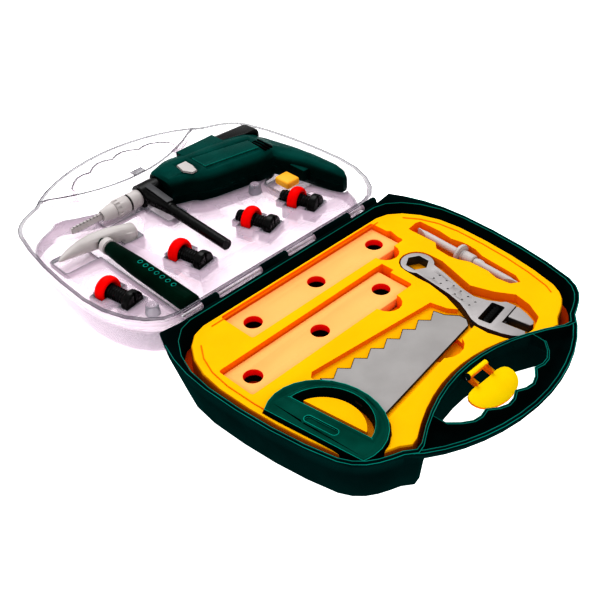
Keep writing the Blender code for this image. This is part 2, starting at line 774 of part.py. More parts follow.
def wrench_outline():
    """The wrench from above: ring head at the origin, shaft along +X, fixed jaw at the far end."""
    points = arc((0.0, 0.0), (WRENCH_RING_RADIUS, WRENCH_RING_RADIUS), 42, 318, 20)
    points += [(0.0300, -0.0100), (0.0600, -0.0076), (0.0780, -0.0085), (0.0910, -0.0120)]
    points += [(0.1030, -0.0160), (0.1140, -0.0165), head_point(0.0100, -0.0230)]
    points += [head_point(0.0220, -0.0222), head_point(0.0330, -0.0195), head_point(0.0400, -0.0150)]
    points += [head_point(0.0415, -0.0100), head_point(0.0400, FIXED_JAW)]
    points += [head_point(JAW_FOOT, FIXED_JAW), head_point(JAW_FOOT, 0.0235)]
    points += [head_point(0.0040, 0.0240), (0.1010, 0.0255), (0.0900, 0.0160), (0.0780, 0.0100)]
    points += [(0.0600, 0.0088), (0.0320, 0.0115)]
    return points


def build_wrench():
    """The adjustable wrench: body, movable jaw on a rail, and the worm on its pin."""
    half = WRENCH_THICKNESS / 2
    hexagon = arc((0.0, 0.0), (WRENCH_HEX_RADIUS, WRENCH_HEX_RADIUS), 10, 310, 5)
    body = plate("wrench_body", (wrench_outline(), hexagon), -half, half)
    bevel(body, 0.0012, 2, 50.0)
    reach, side = WORM_WINDOW[0] / 2, WORM_WINDOW[1] / 2
    window = [head_point(u, v) for u, v in rounded(-reach, reach, -side, side, 0.0015, 2)]
    cut(body, plate("wrench_window", (window,), -0.02, 0.02))
    low, high = FIXED_JAW + 0.0008, 0.0300
    groove = [head_point(u, v) for u, v in ((0.0062, low), (0.02, low), (0.02, high), (0.0062, high))]
    gap = RAIL_HALF + CLEARANCE
    cut(body, plate("wrench_groove", (groove,), -gap, gap))
    ends = (Vector((*head_point(0.0, -0.0195), 0.0)), Vector((*head_point(0.0, 0.0300), 0.0)))
    cut(body, cylinder("wrench_pin_bore", 0.0012 + CLEARANCE, *ends, 12))
    piece(set_in(body, WRENCH_FRAME), "wrench_body", "silver")
    jaw = [(JAW_FOOT + CLEARANCE, 0.0040), (0.0400, 0.0040), (0.0418, 0.0075), (0.0400, 0.0120)]
    jaw += [(0.0300, 0.0185), (0.0200, 0.0232), (JAW_FOOT + CLEARANCE, 0.0235)]
    mover = plate("wrench_jaw", (jaw,), -half, half)
    bevel(mover, 0.0012, 2, 50.0)
    join(mover, block("jaw_rail", (0.0066, 0.0042, -RAIL_HALF), (JAW_FOOT + 0.002, 0.0230, RAIL_HALF)))
    piece(set_in(mover, WRENCH_HEAD_FRAME), "wrench_jaw", "silver")
    length = WORM_LENGTH
    profile = []
    count = 6
    for i in range(count):
        top = length / 2 - i * length / count
        step = length / count
        profile += [(WORM_RADIUS - 0.0013, top), (WORM_RADIUS, top - 0.3 * step), (WORM_RADIUS, top - 0.6 * step)]
    profile.append((WORM_RADIUS - 0.0013, -length / 2))
    bore = 0.0012 + CLEARANCE
    worm = turned("wrench_worm", [(bore, length / 2)] + profile + [(bore, -length / 2)], 12)
    along = Matrix.Rotation(math.radians(-90), 4, "X")
    piece(set_in(worm, WRENCH_HEAD_FRAME @ along), "wrench_worm", "silver", 60.0)
    pin = cylinder("pin", 0.0012, (0.0, -0.0190, 0.0), (0.0, 0.0215, 0.0), 12)
    piece(set_in(pin, WRENCH_HEAD_FRAME), "wrench_pin", "steel")


def build_driver():
    """The double ended screwdriver bit with its round flange and a black ring."""
    frame = frame_of((*DRIVER_CENTRE, DRIVER_AXIS_HEIGHT), DRIVER_ANGLE) @ Matrix.Rotation(math.radians(-90), 4, "X")
    r, flange, collar = DRIVER_SHAFT_RADIUS, DRIVER_FLANGE_WIDTH / 2, DRIVER_COLLAR_RADIUS
    end = flange + DRIVER_COLLAR_LENGTH
    profile = [(0.0, DRIVER_REAR), (r - 0.0006, DRIVER_REAR), (r, DRIVER_REAR - 0.0010), (r, flange + 0.0035)]
    profile += [(collar, flange), (DRIVER_FLANGE_RADIUS - 0.0008, flange), (DRIVER_FLANGE_RADIUS, flange - 0.0008)]
    profile += [(DRIVER_FLANGE_RADIUS, 0.0008 - flange), (DRIVER_FLANGE_RADIUS - 0.0008, -flange)]
    profile += [(collar, -flange), (collar, -flange - 0.0030), (r, -flange - 0.0030)]
    profile += [(r, -end - 0.0040), (r + 0.0012, -end - 0.0080), (r + 0.0012, -end - 0.0130)]
    profile += [(r, -end - 0.0160), (r, 0.0010 - DRIVER_FRONT), (r - 0.0006, -DRIVER_FRONT), (0.0, -DRIVER_FRONT)]
    shaft = turned("driver_shaft", profile, 14)
    for side in (-1, 1):
        near, far = side * 0.0009, side * 0.0080
        for tip in (DRIVER_REAR, -DRIVER_FRONT):
            away = math.copysign(1.0, tip)
            blade = [(near, tip + away * 0.001), (far, tip + away * 0.001), (far, tip - away * 0.016)]
            blade += [(side * (r + 0.0004), tip - away * 0.016), (near, tip - away * 0.006)]
            wedge = plate("driver_flat", (blade,), -0.010, 0.010)
            wedge.data.transform(Matrix.Rotation(math.radians(90), 4, "X"))
            cut(shaft, wedge)
    piece(set_in(shaft, frame), "driver_shaft", "silver")
    inner, outer = r + CLEARANCE, collar + 0.0004
    top, low = -flange - 0.0033, -end - 0.0036
    ring = [(inner, top), (outer, top), (outer, low + 0.001), (outer - 0.001, low), (inner, low)]
    piece(set_in(turned("driver_ring", ring, 14), frame), "driver_ring", "black")


DRILL_FRAME = frame_of(DRILL_ORIGIN, DRILL_ANGLE)
AXLE_TURN = Matrix(((0, 0, -1, 0), (0, 1, 0, 0), (1, 0, 0, 0), (0, 0, 0, 1)))
DRILL_AXLE = DRILL_FRAME @ AXLE_TURN
BARREL = (
    (0.0000, -0.0272, 0.0140, 0.0165),
    (0.0030, -0.0314, 0.0150, 0.0202),
    (0.0220, -0.0407, 0.0186, 0.0242),
    (0.0300, -0.0493, 0.0186, 0.0250),
    (0.0450, -0.0553, 0.0157, 0.0250),
    (0.0800, -0.0628, 0.0120, 0.0250),
    (0.1100, -0.0689, 0.0041, 0.0250),
    (0.1320, -0.0670, -0.0030, 0.0240),
    (0.1430, -0.0600, -0.0080, 0.0205),
    (0.1490, -0.0510, -0.0115, 0.0160),
)
GRIP = (
    (-0.0160, 0.1207, 0.1545, 0.0165),
    (-0.0300, 0.1207, 0.1590, 0.0172),
    (-0.0747, 0.1320, 0.1670, 0.0175),
    (-0.1068, 0.1425, 0.1690, 0.0175),
    (-0.1420, 0.1480, 0.1685, 0.0175),
    (-0.1560, 0.1510, 0.1660, 0.0155),
    (-0.1630, 0.1550, 0.1620, 0.0100),
)


def rounded_section(low, high, half, power, count):
    """Points of a rounded rectangle: along from low to high, and up and down by half."""
    points = []
    for i in range(count):
        angle = 2 * math.pi * (i + 0.5) / count
        c, s = math.cos(angle), math.sin(angle)
        along = math.copysign(abs(c) ** (2 / power), c)
        across = math.copysign(abs(s) ** (2 / power), s)
        points.append(((low + high) / 2 + (high - low) / 2 * along, half * across))
    return points


def drill_barrel(wall):
    """The barrel of the drill, drawn in by a wall thickness."""
    rings = []
    first, last = BARREL[0][0], BARREL[-1][0]
    for x, low, high, half in BARREL:
        x = min(max(x, first + wall), last - wall)
        section = rounded_section(low + wall, high - wall, half - wall, 4.2, 16)
        rings.append([(x, y, z) for y, z in section])
        if len(rings) > 1 and rings[-1][0][0] - rings[-2][0][0] < 0.0003:
            rings[-1] = [(rings[-2][0][0] + 0.0003, y, z) for y, z in section]
    return loft("drill_barrel", rings)


def drill_grip(wall):
    """The grip of the drill, drawn in by a wall thickness."""
    rings = []
    last = GRIP[-1][0]
    for y, low, high, half in GRIP:
        section = rounded_section(low + wall, high - wall, half - wall, 3.2, 14)
        rings.append([(x, max(y, last + wall), z) for x, z in section])
    if wall:
        rings.pop()
    return loft("drill_grip", rings)


def drill_cylinder(name, radius, start, end, sides=24, end_radius=None):
    """A bar between two points of the drill's own frame."""
    made = cylinder(name, radius, start, end, sides, end_radius)
    made.data.transform(DRILL_FRAME)
    return made


def drill_plate(name, outlines, low, high):
    made = plate(name, outlines, low, high)
    made.data.transform(DRILL_FRAME)
    return made


TRIGGER_SLOT = (-0.1170, -0.0890)
PANEL = [(0.0470, -0.0120), (0.0460, -0.0390), (0.1200, -0.0540), (0.1220, -0.0315)]
PANEL_LEVEL = 0.0236
WINDOW = [(0.0385, -0.0115), (0.0240, -0.0110), (0.0205, -0.0270), (0.0260, -0.0390), (0.0340, -0.0390)]
WINDOW.append((0.0380, -0.0260))
DOOR = rounded(0.1525, 0.1650, -0.1400, -0.0910, 0.0020, 2)


def drill_shell(side):
    """One half of the drill casing. side is 1 for the half that faces up."""
    shell, grip = drill_barrel(0.0), drill_grip(0.0)
    core, core_grip = drill_barrel(CASING_WALL), drill_grip(CASING_WALL)
    for shape in (shell, grip, core, core_grip):
        shape.data.transform(DRILL_FRAME)
    join(shell, grip)
    join(core, core_grip)
    cut(shell, core)
    edges = (-0.5 * CLEARANCE, 0.10)
    if side > 0:
        edges = (-0.10, 0.5 * CLEARANCE)
    bosses = []
    for x, y in BOSS_PLACES:
        top = 0.0225 if y > -0.06 else 0.0165
        ends = ((x, y, side * CLEARANCE), (x, y, side * top))
        bosses.append(drill_cylinder("boss", BOSS_RADIUS, *ends, 10))
    join(shell, merged("drill_bosses", bosses))
    square = [(-0.03, -0.20), (0.20, -0.20), (0.20, 0.06), (-0.03, 0.06)]
    cut(shell, drill_plate("drill_split", (square,), *edges))
    cut(shell, drill_cylinder("spindle_bore", SPINDLE_RADIUS + CLEARANCE, (-0.01, 0, 0), (0.01, 0, 0), 16))
    mouth = rounded(0.1250, 0.1520, *TRIGGER_SLOT, 0.0010, 1)
    cut(shell, drill_plate("trigger_mouth", (mouth,), -0.0073, 0.0073))
    return shell


def build_drill_casing():
    """Both casing halves, with pockets for the plain panel and the window and slots for air."""
    upper = drill_shell(1)
    cut(upper, drill_plate("panel_pocket", (grow(PANEL, CLEARANCE),), PANEL_LEVEL, 0.04))
    cut(upper, drill_plate("window_pocket", (grow(WINDOW, CLEARANCE),), PANEL_LEVEL - 0.001, 0.04))
    for i in range(2):
        place = (0.1275 + 0.0065 * i, -0.0460 - 0.0030 * i)
        vent = placed(rounded(-0.0010, 0.0010, -0.0105, 0.0105, 0.0009, 2), place, 0.03)
        cut(upper, drill_plate("vent", (vent,), 0.015, 0.04))
    piece(upper, "drill_casing_upper", "drill_green")
    lower = drill_shell(-1)
    for i, (x, y) in enumerate(BOSS_PLACES):
        seat = -0.0195 if y > -0.06 else -0.0130
        cut(lower, drill_cylinder("screw_hole", SCREW_RADIUS + CLEARANCE, (x, y, 0.001), (x, y, -0.03), 10))
        cut(lower, drill_cylinder("screw_seat", 0.0032, (x, y, seat), (x, y, -0.03), 12))
        cut(upper, drill_cylinder("screw_pilot", SCREW_RADIUS + CLEARANCE, (x, y, -0.001), (x, y, 0.0095), 10))
        screw = drill_cylinder("screw", SCREW_RADIUS, (x, y, seat - 0.0005), (x, y, 0.0090), 10)
        join(screw, drill_cylinder("screw_head", 0.0028, (x, y, seat - 0.0022), (x, y, seat - CLEARANCE), 12))
        piece(screw, f"drill_screw_{i + 1}", "steel")
    cut(lower, drill_plate("door_hole", (grow(DOOR, CLEARANCE),), -0.03, -0.0130))
    piece(lower, "drill_casing_lower", "drill_green")
    door = drill_plate("battery_door", (DOOR,), -0.0176, -0.0152)
    piece(bevel(door, 0.0006, 1), "battery_door", "drill_green")
    panel = drill_plate("drill_panel", (PANEL,), PANEL_LEVEL + CLEARANCE, DRILL_HALF_THICKNESS + 0.0008)
    piece(bevel(panel, 0.0005, 1, 60.0), "drill_panel", "panel_green")
    window = drill_plate("drill_window", (WINDOW,), PANEL_LEVEL - 0.001 + CLEARANCE, DRILL_HALF_THICKNESS + 0.0006)
    piece(bevel(window, 0.0006, 1, 60.0), "drill_window", "silver")
    ridge = [(0.0450, 0.0050), (0.1535, -0.0200), (0.1545, -0.0080), (0.1538, 0.0040), (0.1500, 0.0090)]
    ridge += [(0.1100, 0.0130), (0.0700, 0.0155), (0.0455, 0.0168)]
    spine = bevel(drill_plate("drill_spine", (ridge,), -0.0235, 0.0235), 0.0045, 2, 60.0)
    for shape in (drill_barrel(-CLEARANCE), drill_grip(-CLEARANCE)):
        shape.data.transform(DRILL_FRAME)
        cut(spine, shape)
    piece(spine, "drill_spine", "black")


def build_side_handle():
    """The black side handle: a collar on the drill's nose and a bar that reaches down from it."""
    bore = SPINDLE_RADIUS + CLEARANCE
    front, back = -COLLAR_LENGTH, -CLEARANCE
    collar = drill_cylinder("side_handle", COLLAR_RADIUS, (front, 0, 0), (back, 0, 0), 28)
    x = front / 2 - 0.0030
    join(collar, drill_cylinder("handle_root", 0.0125, (x + 0.002, -0.004, 0), (x - 0.001, -0.050, 0), 20, 0.0070))
    ends = ((x - 0.001, -0.040, 0), (x - 0.0055, SIDE_HANDLE_END, 0))
    join(collar, drill_cylinder("handle_bar", SIDE_HANDLE_RADIUS, *ends, 20))
    cut(collar, drill_cylinder("handle_bore", bore, (front - 0.01, 0, 0), (back + 0.01, 0, 0), 16))
    return piece(collar, "drill_side_handle", "black")


def gear_outline(teeth):
    """A toothed disc with short narrow teeth, one tooth pointing along +X."""
    points = []
    pitch = teeth * GEAR_MODULE / 2
    for i in range(teeth):
        middle = 2 * math.pi * i / teeth
        wide, narrow = math.pi / teeth * 0.42, math.pi / teeth * 0.25
        for reach, angle in ((-0.0006, -wide), (0.0004, -narrow), (0.0004, narrow), (-0.0006, wide)):
            radius = pitch + reach
            points.append((radius * math.cos(middle + angle), radius * math.sin(middle + angle)))
    return points


def build_chuck():
    """The turning parts on the spindle: chuck, black band, toothed ring, nose, bit, spindle and gear."""
    bore = SPINDLE_RADIUS + CLEARANCE
    r = CHUCK_RADIUS
    body = [(bore, 0.0440), (r, 0.0440), (r, 0.0300), (r - 0.0010, 0.0275), (bore, 0.0275)]
    band = [(bore, 0.0457), (r - 0.0004, 0.0457), (r - 0.0004, 0.0443), (bore, 0.0443)]
    ring = [(bore, 0.0650), (r - 0.0010, 0.0650), (r + 0.0005, 0.0630), (r + 0.0005, 0.0470)]
    ring += [(r, 0.0460), (bore, 0.0460)]
    nose = [(bore, 0.0835), (0.0055, 0.0835), (0.0068, 0.0820), (0.0090, 0.0720), (0.0098, 0.0653), (bore, 0.0653)]
    for name, profile, finish in (
        ("chuck_body", body, "silver"),
        ("chuck_band", band, "black"),
        ("chuck_ring", ring, "silver"),
        ("chuck_nose", nose, "silver"),
    ):
        made = turned(name, profile, 18)
        if name == "chuck_ring":
            for i in range(12):
                spot = Matrix.Rotation(2 * math.pi * i / 12, 4, "Z")
                notch = block("chuck_notch", (r - 0.0012, -0.0012, 0.0590), (r + 0.004, 0.0012, 0.0670))
                notch.data.transform(spot)
                cut(made, notch)
        piece(set_in(made, DRILL_AXLE), name, finish, 45.0)
    ribs = []
    half = BIT_WIDTH / 2
    for i in range(8):
        x = 0.0855 + 0.0047 * i
        ribs += [(half, x), (half, x + 0.0032), (half - 0.0009, x + 0.0036), (half - 0.0009, x + 0.0044)]
    outline = [(0.0028, 0.0660), (0.0028, 0.0838), (half, 0.0845)] + ribs + [(half - 0.0005, 0.1250)]
    outline += [(-x, y) for x, y in reversed(outline)]
    blade = plate("drill_bit", (outline,), -BIT_THICKNESS / 2, BIT_THICKNESS / 2)
    blade.data.transform(Matrix.Rotation(math.radians(90), 4, "X"))
    piece(set_in(blade, DRILL_AXLE), "drill_bit", "silver")
    spindle = cylinder("spindle", SPINDLE_RADIUS, (0, 0, -0.0640), (0, 0, 0.0655), 16)
    teeth = gear_outline(GEAR_TEETH)
    join(spindle, plate("spindle_gear", (teeth,), -0.0610, -0.0550))
    piece(set_in(spindle, DRILL_AXLE), "drill_spindle", "steel")


GEAR_DISTANCE = (GEAR_TEETH + PINION_TEETH) * GEAR_MODULE / 2


def build_drill_inside():
    """The motor with its pinion, the two batteries in the grip, and the trigger."""
    y = -GEAR_DISTANCE
    start = 0.0660
    motor = drill_cylinder("motor", MOTOR_RADIUS, (start, y, 0), (start + MOTOR_LENGTH, y, 0), 24)
    piece(motor, "motor", "steel")
    bore_end = start - CLEARANCE
    teeth = gear_outline(PINION_TEETH)
    teeth = placed(teeth, (0.0, 0.0), math.pi / PINION_TEETH + math.pi)
    pinion = plate("motor_pinion", (teeth,), -0.0620, -0.0540)
    join(pinion, cylinder("pinion_shaft", 0.0012, (0, 0, -bore_end), (0, 0, -0.0530), 10))
    frame = DRILL_FRAME @ Matrix.Translation((0.0, y, 0.0)) @ AXLE_TURN
    piece(set_in(pinion, frame), "motor_pinion", "steel")
    for i, side in enumerate((-1, 1)):
        z = side * (BATTERY_RADIUS + 0.0002)
        ends = ((0.1596, -0.0930, z), (0.1586, -0.0930 - BATTERY_LENGTH, z))
        cell = drill_cylinder("battery", BATTERY_RADIUS, *ends, 16)
        piece(cell, f"battery_{i + 1}", "black")
    low, high = TRIGGER_SLOT
    pull = [(0.1450, high - 0.0010), (0.1120, high - 0.0010), (0.1080, high - 0.0060), (0.1120, high - 0.0140)]
    pull += [(0.1140, low + 0.0080), (0.1200, low + 0.0010), (0.1450, low + 0.0010)]
    trigger = drill_plate("drill_trigger", (pull,), -0.0068, 0.0068)
    piece(bevel(trigger, 0.0015, 2, 30.0), "drill_trigger", "orange")


HAMMER_FRAME = frame_of((HAMMER_X, HAMMER_HEAD_Y, HAMMER_HEIGHT), HAMMER_ANGLE)
HAMMER_HEAD = (
    (-0.0545, -0.0030, 0.0010),
    (-0.0500, -0.0015, 0.0032),
    (-0.0400, 0.0010, 0.0056),
    (-0.0240, 0.0024, 0.0082),
    (-0.0100, 0.0014, 0.0098),
    (0.0030, -0.0008, 0.0103),
    (0.0160, -0.0040, 0.0103),
    (0.0280, -0.0080, 0.0093),
    (0.0400, -0.0120, 0.0090),
)


def build_hammer():
    """The hammer: curved pointed head with a striking face, silver collar and ribbed grip."""
    rings = []
    for x, y, r in HAMMER_HEAD:
        rings.append([(x, y + r * c, r * s) for c, s in arc((0.0, 0.0), (1.0, 1.0), 12, 348, 14)])
    head = loft("hammer_head", rings)
    head.data.transform(HAMMER_FRAME)
    x, y, r = HAMMER_HEAD[-2]
    face = rounded(x - 0.0020, x + 0.0150, y - 0.0120, y + 0.0060, 0.0060, 3)
    face = plate("hammer_face", (face,), -0.0210, 0.0030)
    face.data.transform(HAMMER_FRAME)
    join(head, bevel(face, 0.0015, 2, 60.0))
    top = -0.0125
    neck = cylinder("hammer_eye", HAMMER_NECK_RADIUS + CLEARANCE, (0, -0.03, 0), (0, -0.0030, 0), 16)
    neck.data.transform(HAMMER_FRAME)
    cut(head, neck)
    piece(head, "hammer_head", "silver")
    frame = HAMMER_FRAME @ Matrix.Rotation(math.radians(-90), 4, "X")
    bore = HAMMER_NECK_RADIUS + CLEARANCE
    end = top - HAMMER_COLLAR_LENGTH
    collar = [(bore, top), (0.0085, top), (0.0095, top - 0.0015), (0.0095, end + 0.0010), (0.0085, end), (bore, end)]
    piece(set_in(turned("hammer_collar", collar, 16), frame), "hammer_collar", "silver")
    top = end - CLEARANCE
    low = top - HAMMER_GRIP_LENGTH
    g = HAMMER_GRIP_RADIUS
    grip = [(0.0, -0.0040), (HAMMER_NECK_RADIUS, -0.0040), (HAMMER_NECK_RADIUS, top)]
    grip += [(g - 0.0036, top), (g - 0.0028, top - 0.0020), (g - 0.0004, top - 0.0500), (g, low + 0.0200)]
    grip += [(g, low + 0.0060), (g - 0.0016, low + 0.0016), (g - 0.0050, low), (0.0, low)]
    handle_piece = turned("hammer_grip", grip, 18)
    for i in range(7):
        spot = low + 0.0330 + 0.0098 * i
        dimple = cylinder("grip_dimple", 0.0026, (0, spot, g - 0.0022), (0, spot, g + 0.002), 8)
        dimple.data.transform(HAMMER_FRAME)
        cut(handle_piece, dimple)
    piece(set_in_only(handle_piece, frame), "hammer_grip", "grip_green")


def set_in_only(obj, frame):
    """Put a shape into a frame and leave its guides where they are."""
    obj.matrix_world = frame
    return obj


def bolt_frame(place, angle):
    """A frame at a bolt's head whose Z runs along the shank towards the lid's front."""
    turn = Matrix.Rotation(angle, 4, "Z") @ Matrix.Rotation(math.radians(-90), 4, "X")
    return Matrix.Translation((*place, BOLT_AXIS_HEIGHT)) @ turn


def build_bolt(index, place, angle, run):
    """A black bolt with a round head and threaded shank, and the red nut on it."""
    frame = bolt_frame(place, angle)
    r, head, length = BOLT_RADIUS, BOLT_HEAD_LENGTH, BOLT_LENGTH
    profile = [(0.0, length), (r - 0.0012, length)]
    turns = 6
    pitch = (length - 0.003) / turns
    for i in range(turns):
        top = length - 0.0012 - i * pitch
        profile += [(r, top), (r - 0.0007, top - pitch * 0.55)]
    dome = [(BOLT_HEAD_RADIUS - 0.0010, 0.0), (BOLT_HEAD_RADIUS, -0.0012), (BOLT_HEAD_RADIUS, -0.0040)]
    dome += [(BOLT_HEAD_RADIUS - 0.0030, 0.0010 - head), (0.0060, -head), (0.0, -head)]
    bolt = turned(f"bolt_{index}", profile + [(r - 0.0007, 0.0)] + dome, 14)
    cut(bolt, block("bolt_slot", (-0.0012, -0.02, -head - 0.001), (0.0012, 0.02, -head + 0.0022)))
    piece(set_in(bolt, frame), f"bolt_{index}", "black")
    bore, half = r + CLEARANCE, NUT_WIDTH / 2
    ring = [(bore, half), (NUT_RADIUS - 0.0012, half), (NUT_RADIUS, half - 0.0012), (NUT_RADIUS, 0.0012 - half)]
    ring += [(NUT_RADIUS - 0.0012, -half), (bore, -half)]
    nut = turned(f"nut_{index}", ring, 18)
    piece(set_in(nut, frame @ Matrix.Translation((0, 0, run))), f"nut_{index}", "red")


def tray_wells():
    """Every well of the tray as its outline and the height of its floor."""
    wells = []
    for centre in PLANK_CENTRES:
        wells.append((plank_outline(centre, PLANK_PLAY), PLANK_TOP - PLANK_THICKNESS - CLEARANCE))
    wells.append(([(0.0560, -0.0990), (0.0680, -0.0970), (0.0680, -0.0810), (0.0560, -0.0810)], SCOOP_FLOOR))
    wells.append(([(0.1000, -0.0640), (0.1170, -0.0600), (0.1200, -0.0480), (0.1000, -0.0300)], SCOOP_FLOOR))
    for (x, y), centre in zip(SCOOP_PLACES, PLANK_CENTRES):
        middle = (centre[0] + x, centre[1] - PLANK_WIDTH / 2 + y)
        wells.append((scoop(middle, SCOOP_REACH), SCOOP_FLOOR))
    blade = [(-0.1080, -0.2380), (0.0540, -0.2140), (0.0640, -0.2050), (0.0650, -0.1910), (0.0560, -0.1780)]
    blade += [(0.0520, -0.1600), (-0.1020, -0.1450), (-0.1080, -0.1500)]
    wells.append((blade, BLADE_TOP - BLADE_THICKNESS - CLEARANCE))
    floor = SAW_TOP - SAW_GRIP_HEIGHT - CLEARANCE
    wells.append((saw_bow_outline([r + 0.0015 for r in SAW_BOW], SAW_BAR[0] - 0.0015), floor))
    wells.append((scoop(BLADE_SCOOP, BLADE_SCOOP_REACH), BLADE_SCOOP_FLOOR))
    wells.append((wrench_well(), WRENCH_TOP - WRENCH_THICKNESS - CLEARANCE))
    wells.append((driver_well(), DRIVER_AXIS_HEIGHT - DRIVER_FLANGE_RADIUS + 0.0040))
    flange = placed(rounded(-0.0125, 0.0125, -0.0042, 0.0042, 0.001, 2), DRIVER_CENTRE, DRIVER_ANGLE)
    wells.append((flange, DRIVER_AXIS_HEIGHT - DRIVER_FLANGE_RADIUS - CLEARANCE))
    return wells


def scoop(middle, reach):
    """Half an oval that lets a finger under a tool's edge."""
    x, y = middle
    return arc(middle, reach, 180, 360, 8) + [(x + reach[0], y + 0.004), (x - reach[0], y + 0.004)]


def wrench_well():
    """The outline of the hollow that the wrench lies in."""
    ring = WRENCH_RING_RADIUS + WRENCH_PLAY
    return arc(WRENCH_CENTRE, (ring, ring), 0, 180, 8) + [
        (0.0745, -0.1250), (0.0750, -0.1400),
        (0.0700, -0.1660), (0.0610, -0.1900), (0.0530, -0.2060), (0.0530, -0.2300), (0.0590, -0.2500),
        (0.0640, -0.2580), (0.0880, -0.2590), (0.1060, -0.2520), (0.1160, -0.2340), (0.1200, -0.2150),
        (0.1090, -0.1960), (0.1010, -0.1720), (0.1145, -0.1250),
    ]


def driver_well():
    """The outline of the hollow that the double ended bit lies in."""
    return [
        (0.1500, -0.0580), (0.1360, -0.0600), (0.1360, -0.0980), (0.1280, -0.1060), (0.1260, -0.1240),
        (0.1280, -0.1350), (0.1330, -0.1470), (0.1330, -0.1700), (0.1290, -0.1840), (0.1310, -0.2000),
        (0.1400, -0.2060), (0.1460, -0.1960), (0.1480, -0.1740), (0.1500, -0.1500), (0.1550, -0.1370),
        (0.1560, -0.1200), (0.1530, -0.1060), (0.1560, -0.0880), (0.1560, -0.0600),
    ]


def hollow_sheet(name, rings, under, wells, wall):
    """A thin moulded tray: a body, the wells pressed into it, and the hollow beneath that follows them."""
    body = loft(name, rings)
    beneath = loft(name + "_under", under)
    roof = max(point[2] for ring in rings for point in ring) + 0.002
    for i, (outline, floor) in enumerate(wells):
        cut(body, plate(f"{name}_well_{i}", (outline,), floor, roof))
        cut(beneath, plate(f"{name}_skin_{i}", (grow(outline, wall),), floor - wall, roof))
    return cut(body, beneath)


def anticlockwise(outline):
    area = sum(a[0] * b[1] - b[0] * a[1] for a, b in zip(outline, outline[1:] + outline[:1]))
    return outline if area > 0 else outline[::-1]


def build_tray():
    """The yellow tray in the base, with a raised edge and a hollow for every tool."""
    loop = body_loop(-1, False)
    edge = TRAY_GAP
    flange = LEDGE_HEIGHT + CLEARANCE
    rings = [
        (flange, 0.0057),
        (flange + FLANGE_HEIGHT, 0.0057),
        (flange + FLANGE_HEIGHT, edge - 0.0012),
        (TRAY_TOP - 0.0012, edge - 0.0004),
        (TRAY_TOP + 0.0004, edge + 0.0006),
        (TRAY_TOP + 0.0004, edge + 0.0028),
        (TRAY_TOP, edge + 0.0034),
    ]
    rings = [at_height(inset(loop, distance, -1), z) for z, distance in rings]
    under = [(flange - 0.002, edge + 0.0010), (TRAY_TOP - TRAY_WALL, edge + 0.0018)]
    under = [at_height(inset(loop, distance, -1), z) for z, distance in under]
    wells = [(anticlockwise(outline), floor) for outline, floor in tray_wells()]
    tray = hollow_sheet("tool_tray", rings, under, wells, TRAY_WALL)
    foot = SAW_TOP - SAW_GRIP_HEIGHT - TRAY_WALL / 2
    join(tray, plate("saw_island", (saw_bow_outline(SAW_ISLAND, SAW_ISLAND_SIDE),), foot, TRAY_TOP))
    return piece(tray, "tool_tray", "yellow")


def insert_wells():
    """Every well of the lid insert as its outline and the height of its floor."""
    floor = DRILL_ORIGIN[2] - DRILL_HALF_THICKNESS - CLEARANCE
    barrel = [(-0.0020, -0.0330), (0.0210, -0.0430), (0.0280, -0.0515), (0.0450, -0.0580), (0.0800, -0.0655)]
    barrel += [(0.1100, -0.0715), (0.1370, -0.0715), (0.1640, -0.0560), (0.1640, -0.0100), (0.1610, 0.0080)]
    barrel += [(0.1540, 0.0120), (0.1100, 0.0165), (0.0450, 0.0210), (0.0220, 0.0240), (-0.0020, 0.0220)]
    grip = [(0.1640, -0.0560), (0.1200, -0.0660), (0.1030, -0.0790), (0.1030, -0.1230), (0.1400, -0.1230)]
    grip += [(0.1460, -0.1480), (0.1530, -0.1660), (0.1640, -0.1660), (0.1695, -0.1560), (0.1716, -0.1440)]
    grip += [(0.1716, -0.1060), (0.1700, -0.0740), (0.1660, -0.0560)]
    collar = rounded(-0.0285, -0.0005, -0.0560, 0.0160, 0.0020, 1)
    chuck = rounded(-0.0860, -0.0265, -0.0130, 0.0130, 0.0020, 1)
    local = [
        (barrel, floor),
        (grip, DRILL_ORIGIN[2] - 0.0175 - CLEARANCE),
        (chuck, DRILL_ORIGIN[2] - CHUCK_RADIUS - 0.0010),
        (collar, DRILL_ORIGIN[2] - COLLAR_RADIUS - CLEARANCE),
    ]
    wells = [(placed(outline, DRILL_ORIGIN[:2], DRILL_ANGLE), z) for outline, z in local]
    end = -0.0125 - HAMMER_COLLAR_LENGTH - HAMMER_GRIP_LENGTH - 0.0020
    for outline, floor in (
        (rounded(-0.0130, 0.0130, end, 0.0050, 0.003, 2), HAMMER_HEIGHT - HAMMER_GRIP_RADIUS - 0.0004),
        (rounded(-0.0580, 0.0450, -0.0220, 0.0125, 0.003, 2), HAMMER_HEIGHT - 0.0108),
        (rounded(0.0240, 0.0460, -0.0230, 0.0010, 0.003, 2), HAMMER_HEIGHT - 0.0210 - CLEARANCE),
    ):
        wells.append((placed(outline, (HAMMER_X, HAMMER_HEAD_Y), HAMMER_ANGLE), floor))
    for place, angle, run in BOLTS:
        for half, back, front, z in (
            (NUT_RADIUS + 0.0015, run - 0.0085, run + 0.0085, BOLT_AXIS_HEIGHT - NUT_RADIUS - 0.0004),
            (BOLT_HEAD_RADIUS + 0.0015, -BOLT_HEAD_LENGTH - 0.0015, 0.0020, BOLT_AXIS_HEIGHT - BOLT_HEAD_RADIUS - 0.0004),
            (BOLT_RADIUS + 0.0015, -0.0010, BOLT_LENGTH + 0.0015, BOLT_AXIS_HEIGHT - BOLT_RADIUS - 0.0004),
        ):
            outline = [(-half, back), (half, back), (half, front), (-half, front)]
            wells.append((placed(outline, place, angle), z))
    return wells


